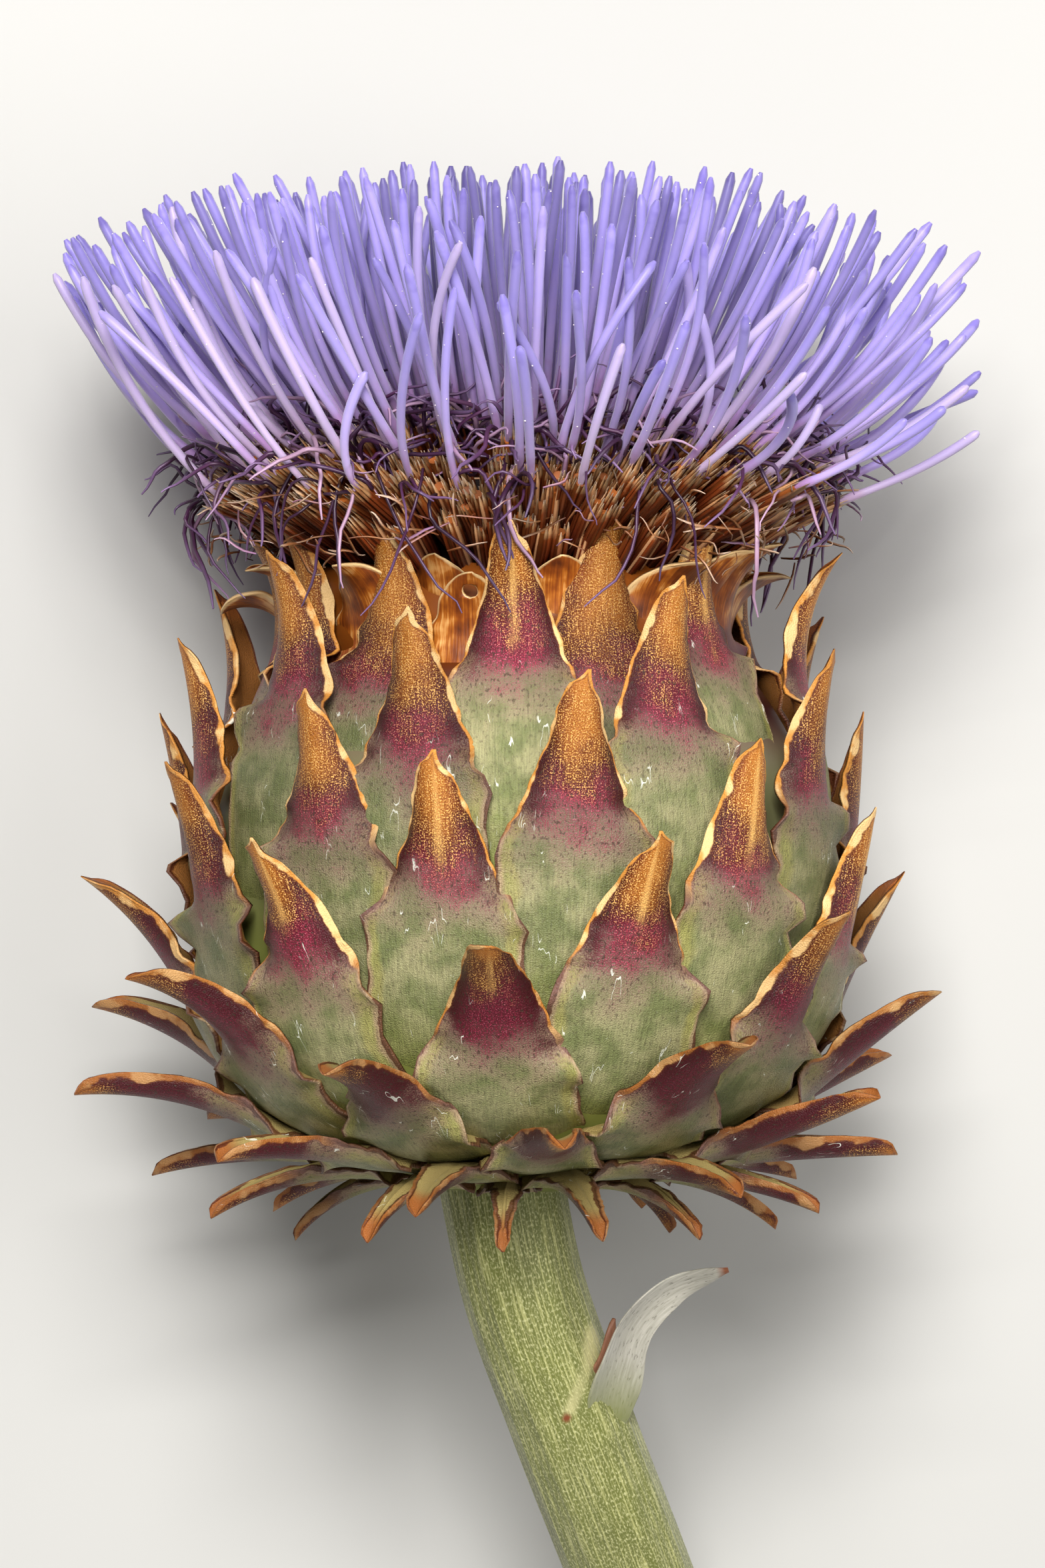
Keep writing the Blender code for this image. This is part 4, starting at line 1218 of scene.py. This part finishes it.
class ARTICHOKE_OT_florets(bpy.types.Operator):
    """Make the florets: brown tubes with pale bristles, violet styles and their pollen."""

    bl_idname = "artichoke.florets"
    bl_label = "Florets"

    def execute(self, context):
        look = context.scene.artichoke_florets
        chance = np.random.default_rng(SEED + 12)
        share, azimuth, spots = floret_places(look.count, chance)
        root, joint = (
            laid(around(azimuth, *spots[name]), look.style) for name in ("root", "joint")
        )
        # The inner styles are younger, and a darker blue.
        tone = np.clip(0.55 * share**2 + chance.uniform(-0.1, 0.6, look.count), 0, 1)
        foot, top = map(np.concatenate, zip((root, joint), bare_tufts(look.style, chance)))
        foot = foot + chance.normal(size=foot.shape) * 0.4 * MM
        tubes = strands(
            "floret_tubes",
            strand_lines(foot, (foot + top) / 2, top - unit(top - foot) * MM, 0, chance),
            strand_tree("floret_tube", ((0, 0.75), (0.3, 0.95), (0.8, 1.0), (1, 0.8))),
            Steps=6, Sides=7, Radius=0.85 * look.tube, Spread=0.12, Seed=1,
            Finish=strand_material(
                "dried_floret_tube",
                ((0, linear("#2a0c06")), (0.6, linear("#66270f")), (1, linear("#97521f"))),
                0.4, {"IOR": 1.45},
            ),
        )
        finish_piece(tubes, "brown_tube", "tube_bed")
        bed = turned_piece(
            "floret_bed", BED_OUTLINE,
            strand_material(
                "dark_flower_bed", ((0, linear("#240d05")), (1, linear("#3f1a0a"))), 0.8,
                {"IOR": 1.45},
            ),
        )
        finish_piece(bed, "brown_tube", "tube_bed")
        # The bristles are brown below and straw-pale at their points.
        bristles = strands(
            "floret_bristles", bristle_lines(foot, top, look.tube, chance),
            strand_tree("floret_bristle", ((0, 0.9), (0.8, 1.0), (0.9, 0.8), (1, 0.12))),
            Steps=5, Sides=3, Radius=BRISTLE_RADIUS, Spread=0.2, Seed=2,
            Finish=strand_material(
                "straw_bristle",
                ((0, linear("#2c0e07")), (0.45, look.brown), (0.8, linear("#8a3f18")),
                 (0.92, look.straw), (1, linear("#efd6ba"))),
                0.35, {"IOR": 1.45}, (0.6, linear("#d9a878")),
            ),
        )
        finish_piece(bristles, "brown_tube", "tube_bed")
        bend, tip = style_lines(share, azimuth, spots, look.style, chance)
        styles = strands(
            "violet_styles",
            {
                "start": joint - unit(joint - root) * MM, "bend": bend, "end": tip,
                "sway": chance.normal(size=joint.shape) * 0.25 * MM, "tone": tone,
            },
            strand_tree("floret_style", (
                (0, 0.62), (0.09, 0.66), (0.125, 1.02), (0.17, 0.84), (0.6, 0.94),
                (0.95, 1.0), (0.98, 0.86), (1, 0.4),
            )),
            Steps=15, Sides=8, Radius=look.style, Spread=0.1, Turns=4.0, Seed=3,
            Finish=strand_material(
                "velvety_violet_style",
                ((0, linear("#b184b4")), (0.12, look.pink), (0.26, linear("#bfa8e0")),
                 (0.65, look.violet), (0.93, linear("#9f92dc")), (1, linear("#8678c6"))),
                0.42,
                {"IOR": 1.4, "Sheen_Weight": 0.25, "Subsurface_Weight": 0.15,
                 "Subsurface_Radius": (0.001, 0.0008, 0.0015), "Subsurface_Scale": 1.0},
                (0.6, linear("#ab9aa6")),
            ),
        )
        finish_piece(styles, "violet_floret", "floret_bloom")
        grains = grown(
            "pollen_grains", styles, pollen_tree(),
            {"Density": POLLEN_DENSITY, "Radius": look.grain, "Seed": 4, "Finish": pollen_material()},
        )
        finish_piece(grains, "violet_floret")
        return {"FINISHED"}


def pollen_tree():
    """Geometry nodes that scatter small grains over a mesh."""
    tree, source = new_tree("pollen", {
        "Surface": "Geometry", "Density": "Float", "Radius": "Float", "Seed": "Int",
        "Finish": "Material",
    })
    spots = add(
        tree, "GeometryNodeDistributePointsOnFaces",
        {"Mesh": source["Surface"], "Density": source["Density"], "Seed": source["Seed"]},
    )
    grain = add(
        tree, "GeometryNodeMeshIcoSphere", {"Radius": source["Radius"], "Subdivisions": 1}
    )
    size = add(
        tree, "FunctionNodeRandomValue", {2: 0.6, 3: 1.3, "Seed": source["Seed"]}, out=1
    )
    grains = add(
        tree, "GeometryNodeInstanceOnPoints",
        {"Points": spots, "Instance": grain, "Scale": size},
    )
    return end_tree(tree, grains, source["Finish"])


def pollen_material():
    """Pollen: dull cream grains."""
    made, tree, shader = new_material("cream_pollen", Roughness=0.7, IOR=1.45)
    place = add(tree, "ShaderNodeTexCoord", out="Object")
    cloud = add(tree, "ShaderNodeTexNoise", {"Vector": place, "Scale": 300})
    shade = add(
        tree, "ShaderNodeMix", {0: cloud, 6: linear("#d8cfe6"), 7: linear("#f3ead2")},
        out=2, data_type="RGBA",
    )
    wire(tree, shader, {"Base Color": shade})
    return made


def thread_lines(count, radius, chance):
    """Curly threads at the joints of the outer florets, and some that hang below them."""
    share, azimuth, spots = floret_places(count, chance)
    outer = np.flatnonzero(share > 0.5)
    rim = outer[share[outer] > 0.75]
    pick = np.concatenate([outer, rim, rim])
    count, azimuth = len(pick), azimuth[pick]
    radial, flank = around(azimuth, 1.0, 0.0), around(azimuth + math.pi / 2, 1.0, 0.0)
    out, up = chance.uniform(-0.2, 0.9, count), chance.uniform(-0.75, 0.75, count)
    sideways = chance.normal(size=count) * 0.7
    aim = unit(radial * out[:, None] + flank * sideways[:, None] + np.outer(up, UPRIGHT))
    reach = chance.uniform(5, 13, (count, 1)) * MM
    joint = around(azimuth, *spots["joint"][:, pick])
    start = joint + chance.normal(size=(count, 3)) * 1.2 * MM - radial * 1.5 * MM
    bend = start + reach * 0.5 * unit(radial + 0.7 * UPRIGHT)
    end = kept_within(start + aim * reach, THREAD_REACH)
    # Some hang down over the dry bracts.
    droop = chance.uniform(0, math.tau, HANGING_COUNT)
    top = chance.uniform(36, 40, HANGING_COUNT) * MM
    heights = [
        chance.uniform(*span, HANGING_COUNT) * MM for span in ((86, 91), (84, 88), (71, 81))
    ]
    hung = [
        around(droop + chance.normal(size=HANGING_COUNT) * turn, top + out * MM, height)
        for (turn, out), height in zip(((0, 0), (0.06, 5), (0.12, 0.5)), heights)
    ]
    spread = (np.concatenate(pair) for pair in zip((start, bend, end), hung))
    return strand_lines(*(laid(points, radius) for points in spread), 1.7 * MM, chance)


def hair_lines(radius, chance):
    """Dry hairs that lie across the foot of the tubes."""
    azimuth = chance.uniform(0, math.tau, HAIR_COUNT)
    away, height = (
        chance.uniform(*span, HAIR_COUNT) * MM for span in ((29, 41), (79.5, 91))
    )
    start = around(azimuth, away, height)
    run = unit(chance.normal(size=(HAIR_COUNT, 3)) * (1, 1, 0.5))
    end = start + run * chance.uniform(3, 8, (HAIR_COUNT, 1)) * MM
    end = kept_within(end, HAIR_REACH)
    spread = start, (start + end) / 2 * (1.04, 1.04, 1), end
    return strand_lines(*(laid(points, radius) for points in spread), 0.9 * MM, chance)


class ARTICHOKE_OT_threads(bpy.types.Operator):
    """Make the curly purple threads between tubes and styles, and the dry hairs below."""

    bl_idname = "artichoke.threads"
    bl_label = "Purple Threads"

    def execute(self, context):
        look = context.scene.artichoke_florets
        chance = np.random.default_rng(SEED + 13)
        threads = strands(
            "curly_threads", thread_lines(look.count, look.thread, chance),
            strand_tree("curly_thread", ((0, 1.0), (0.6, 0.9), (1, 0.35))),
            Steps=11, Sides=4, Radius=look.thread, Spread=0.3, Turns=7.0, Wander=3.0 * MM,
            Seed=5,
            Finish=strand_material(
                "withered_purple_thread",
                ((0, linear("#2c0f22")), (0.5, look.purple), (1, linear("#80648c"))), 0.38,
                {"IOR": 1.45}, (0.7, linear("#b693a8")),
            ),
        )
        finish_piece(threads, "violet_floret")
        radius = 0.6 * look.thread
        hairs = strands(
            "dry_hairs", hair_lines(radius, chance),
            strand_tree("dry_hair", ((0, 0.7), (0.5, 1.0), (1, 0.3))),
            Steps=8, Sides=3, Radius=radius, Spread=0.4, Turns=5.0, Wander=2.0 * MM, Seed=6,
            Finish=strand_material(
                "dry_straw_hair",
                ((0, linear("#6b3418")), (0.5, linear("#a06a40")), (1, linear("#dcc0a8"))),
                0.4, {"IOR": 1.45}, (0.8, linear("#8f6f96")),
            ),
        )
        finish_piece(hairs, "brown_tube")
        return {"FINISHED"}


def ribbed_stalk(look):
    """The ribbed stalk, with a scar on its skin and a cut end."""
    line = smooth_line(STALK_LINE, 20) * MM
    arc = lengths_along(line)
    ahead = unit(np.gradient(line, arc, axis=0))
    level = unit(np.cross(ahead, [0, 1.0, 0]))
    other = np.cross(ahead, level)
    turn = np.linspace(0, math.tau, STALK_SIDES, endpoint=False)
    ribs = look.rib * (0.5 + 0.5 * np.cos(RIB_COUNT * turn)) ** 1.5
    for number, height, phase in FINE_RIBS:
        ribs = ribs + height * np.sin(number * turn + phase)
    flare = 1 + (STALK_FLARE - 1) * np.exp(-arc / (4 * MM))
    radius = STALK_RADIUS * flare[:, None] + ribs[None, :] - look.rib
    circle = np.cos(turn)[:, None] * level[:, None] + np.sin(turn)[:, None] * other[:, None]
    skin = line[:, None] + radius[..., None] * circle
    first, last = np.array(SCAR_FROM) * MM, np.array(SCAR_TO) * MM
    run_down = last - first
    share = np.clip((skin - first) @ run_down / (run_down @ run_down), 0, 1)
    away = np.linalg.norm(skin - first - share[..., None] * run_down, axis=-1)
    scar = np.exp(-((away / (SCAR_WIDTH * (1.1 - 0.5 * share))) ** 2))
    away = np.linalg.norm(skin - last - run_down * 0.12, axis=-1)
    spot = np.exp(-((away / SPOT_WIDTH) ** 2))
    cut = [
        line[-1] + radius[-1][:, None] * inner * circle[-1] - ahead[-1] * depth * MM
        for inner, depth in CUT_RINGS
    ]
    points = laid(np.concatenate([skin, cut]), STALK_CLEARANCE)
    rings = np.arange(points.size // 3).reshape(-1, STALK_SIDES)
    # Each ring's depth inside the skin, and its place along the stalk
    depth = [*np.zeros(len(skin)), *(1 - inner for inner, _ in CUT_RINGS)]
    run = np.repeat([*arc, *[arc[-1]] * len(cut)], STALK_SIDES)
    plain = np.zeros(len(cut) * STALK_SIDES)
    marks = {
        "depth": np.repeat(depth, STALK_SIDES), "scar": np.append(scar, plain),
        "spot": np.append(spot, plain),
    }
    fibres = np.stack([np.tile(turn, len(rings)) * STALK_RADIUS / CM, run / CM], -1)
    return mesh_piece(
        "ribbed_stalk", points, [*ring_faces(rings), rings[-1], rings[0]],
        stalk_material(look), marks, fibres, turn_out=True,
    )


class ARTICHOKE_OT_stalk(bpy.types.Operator):
    """Make the ribbed stalk, the silvery leaf on it and the dry scale at the leaf's foot."""

    bl_idname = "artichoke.stalk"
    bl_label = "Stalk and Leaf"

    def execute(self, context):
        look = context.scene.artichoke_stalk
        finish_piece(ribbed_stalk(look), "green_stalk", "flower_stalk")
        leaf = stalk_leaf("stalk_leaf", LEAF_LINE, LEAF_HALF_WIDTH, leaf_material(look))
        finish_piece(leaf, "green_stalk", "flower_stalk")
        scale = stalk_leaf("stalk_scale", SCALE_LINE, SCALE_HALF_WIDTH, scale_material())
        finish_piece(scale, "green_stalk")
        return {"FINISHED"}


def stalk_leaf(name, points, half_width, finish):
    """A narrow leaf along a line of points in millimetres, hollow above like a gutter."""
    middle = smooth_line(points) * MM
    arc = lengths_along(middle)
    slope = np.gradient(middle, arc, axis=0)
    share = np.linspace(0, 1, 48)
    centre = np.stack([np.interp(share * arc[-1], arc, middle[:, k]) for k in range(3)], -1)
    ahead = unit(
        np.stack([np.interp(share * arc[-1], arc, slope[:, k]) for k in range(3)], -1)
    )
    level = unit(np.cross([0, 1.0, 0], ahead))
    sideways = level * math.cos(LEAF_TILT) + np.array([0, math.sin(LEAF_TILT), 0])
    face = unit(np.cross(sideways, ahead))
    across = np.sin(np.linspace(-math.pi / 2, math.pi / 2, 17))
    half = half_width * rounded(LEAF_WIDTHS, share)
    gutter = 0.5 * half[:, None] * (across[None, :] ** 2) * np.sin(math.pi * share)[:, None]
    grid = (
        centre[:, None, :] + sideways[:, None, :] * (half[:, None] * across)[..., None]
        + face[:, None, :] * gutter[..., None]
    )
    thick = LEAF_THICK * (1 - 0.5 * share[:, None]) * (1 - 0.6 * np.abs(across) ** 3)
    back = grid + face[:, None, :] * thick[..., None]
    shape = grid.shape[:2]
    marks = {
        "along": np.tile(np.broadcast_to(share[:, None], shape).ravel(), 2),
        "edge": np.tile(((1 - np.abs(across)) * half[:, None] / MM).ravel(), 2),
    }
    uv = np.stack(
        np.broadcast_arrays(half[:, None] * across / CM, share[:, None] * arc[-1] / CM), -1
    )
    faces = shell_faces(*shape)
    return mesh_piece(
        name, np.concatenate([laid(grid).reshape(-1, 3), laid(back).reshape(-1, 3)]),
        faces, finish, marks, np.tile(uv.reshape(-1, 2), (2, 1)),
    )


def stalk_material(look):
    """Fresh thistle stalk: a ribbed green skin under silvery down, with a pale pith."""
    made, tree, shader = new_material("downy_green_stalk", IOR=1.45, Sheen_Weight=0.15)
    depth, scar, spot = (
        add(tree, "ShaderNodeAttribute", out="Fac", attribute_name=name)
        for name in ("depth", "scar", "spot")
    )
    # Fine ridges every quarter of a millimetre, and down that glitters in short hairs
    ridges, hairs, cloud = fibre_noise(tree, (38, 1.3, 4), (44, 22, 3), (1.2, 1.2, 3))
    shade = add(
        tree, "ShaderNodeMix", {0: cloud, 6: linear("#5f6233"), 7: look.green}, out=2,
        data_type="RGBA",
    )
    shade = painted(tree, shade, (
        (ridges, 0.5, 0.64, 0.8, "LINEAR", linear("#b3b171")),
        (hairs, 0.5, 0.7, 0.7, "LINEAR", look.down),
        (scar, 0.15, 0.85, 0.6, "SMOOTHSTEP", linear("#c9c08a")),
        (spot, 0.15, 0.85, 1, "SMOOTHSTEP", linear("#7a3a14")),
        (depth, 0.02, 0.15, 1, "LINEAR", look.pith),
    ))
    relief = add(tree, "ShaderNodeMath", {0: ridges, 1: hairs})
    relieve(tree, shader, shade, 0.55, relief, 0.5, 0.15 * MM)
    return made


def scale_material():
    """Small dry scale at a leaf's foot: brittle, pinkish brown."""
    made, tree, shader = new_material("dry_brown_scale", Roughness=0.6, IOR=1.45)
    streaks, = fibre_noise(tree, (40, 6, 2))
    shade = add(
        tree, "ShaderNodeMix", {0: streaks, 6: linear("#5f2f1c"), 7: linear("#a8785c")},
        out=2, data_type="RGBA",
    )
    wire(tree, shader, {"Base Color": shade})
    return made


def leaf_material(look):
    """Woolly underside of a small thistle leaf: silvery white, dried brown at its point."""
    made, tree, shader = new_material("silvery_woolly_leaf", IOR=1.45, Sheen_Weight=0.3)
    along = add(tree, "ShaderNodeAttribute", out="Fac", attribute_name="along")
    wool, dashes = fibre_noise(tree, (34, 3, 4), (38, 9, 2))
    shade = add(
        tree, "ShaderNodeMix", {0: wool, 6: linear("#7d7a69"), 7: linear("#cbc5b7")},
        out=2, data_type="RGBA",
    )
    shade = painted(tree, shade, (
        (dashes, 0.6, 0.7, 0.7, "LINEAR", linear("#5d594c")),
        (along, 0.42, 0.16, 0.85, "LINEAR", look.green),
        (along, 0.95, 0.985, 1, "LINEAR", linear("#7a4322")),
    ))
    relieve(tree, shader, shade, 0.6, wool, 0.4, 0.15 * MM)
    return made


class ARTICHOKE_OT_stage(bpy.types.Operator):
    """Make the plain table, the soft lights and the camera above the flower."""

    bl_idname = "artichoke.stage"
    bl_label = "Table, Lights and Camera"

    def execute(self, context):
        look = context.scene.artichoke_stage
        scene = context.scene
        bm = bmesh.new()
        bmesh.ops.create_grid(bm, x_segments=4, y_segments=4, size=4)
        table = bpy.data.meshes.new("table")
        bm.to_mesh(table)
        bm.free()
        made, tree, shader = new_material("matt_white_table", Roughness=0.75)
        place = add(tree, "ShaderNodeTexCoord", out="Object")
        cloud = add(tree, "ShaderNodeTexNoise", {"Vector": place, "Scale": 3.0})
        shade = add(
            tree, "ShaderNodeMix", {0: cloud, 6: look.floor, 7: linear("#bfbdb8")}, out=2,
            data_type="RGBA",
        )
        wire(tree, shader, {"Base Color": shade})
        table.materials.append(made)
        shown("table", table)
        world = scene.world or bpy.data.worlds.new("studio")
        scene.world = world
        world.use_nodes = True
        wire(world.node_tree, world.node_tree.nodes["Background"], {
            "Color": linear("#e4e6ea"), "Strength": 0.13,
        })
        aim = Vector((0, HEAD_Y + 55 * MM, AXIS_HEIGHT))
        for name, spot, size, share in (
            ("key", (-0.05, 0.38, 0.85), 0.3, 0.95), ("fill", (0.5, 0.1, 0.8), 0.5, 0.3),
            ("foot", (-0.15, -0.75, 0.5), 0.6, 0.12),
        ):
            light = bpy.data.lights.new(name, "AREA")
            light.size = size
            light.energy = look.key * share
            lamp = shown(name, light)
            lamp.location = spot
            lamp.rotation_euler = (aim - lamp.location).to_track_quat("-Z", "Y").to_euler()
        # The photograph looks level at an upright head; laid down, that is from above.
        # At this height it takes in 200 mm of the head's length on its 36 mm side.
        view = bpy.data.cameras.new("camera")
        height, long_side, taken_in = 0.9, 36.0, 0.2
        view.sensor_width = long_side
        view.lens = long_side * height / taken_in
        view.clip_start, view.clip_end = 0.01, 20
        camera = shown("camera", view)
        camera.location = (HEAD_X + 0.65 * MM, HEAD_Y + 51 * MM, AXIS_HEIGHT + height)
        scene.camera = camera
        scene.view_settings.view_transform = "Standard"
        return {"FINISHED"}


class ARTICHOKE_PT_panel(bpy.types.Panel):
    """The artichoke's settings and the buttons that make its pieces."""

    bl_label = "Globe Artichoke"
    bl_space_type = "VIEW_3D"
    bl_region_type = "UI"
    bl_category = "Artichoke"

    def draw(self, context):
        for operator in OPERATORS:
            self.layout.operator(operator.bl_idname)
        for name, group in GROUPS.items():
            box = self.layout.box()
            for setting in group.__annotations__:
                box.prop(getattr(context.scene, name), setting)


OPERATORS = (
    ARTICHOKE_OT_bracts, ARTICHOKE_OT_papery, ARTICHOKE_OT_florets, ARTICHOKE_OT_threads,
    ARTICHOKE_OT_stalk, ARTICHOKE_OT_stage,
)
GROUPS = {
    "artichoke_bracts": ArtichokeBracts, "artichoke_florets": ArtichokeFlorets,
    "artichoke_stalk": ArtichokeStalk, "artichoke_stage": ArtichokeStage,
}


def register():
    """Makes the settings, the operators and the panel known to Blender."""
    for group in (*GROUPS.values(), *OPERATORS, ARTICHOKE_PT_panel):
        bpy.utils.register_class(group)
    for name, group in GROUPS.items():
        setattr(bpy.types.Scene, name, PointerProperty(type=group))


def unregister():
    """Takes back what register() made known."""
    for name in GROUPS:
        delattr(bpy.types.Scene, name)
    for group in (ARTICHOKE_PT_panel, *OPERATORS, *GROUPS.values()):
        bpy.utils.unregister_class(group)


def main():
    """Makes every piece in turn."""
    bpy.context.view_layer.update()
    register()
    bpy.ops.artichoke.bracts()
    bpy.ops.artichoke.papery()
    bpy.ops.artichoke.florets()
    bpy.ops.artichoke.threads()
    bpy.ops.artichoke.stalk()
    bpy.ops.artichoke.stage()


if __name__ == "__main__":
    main()
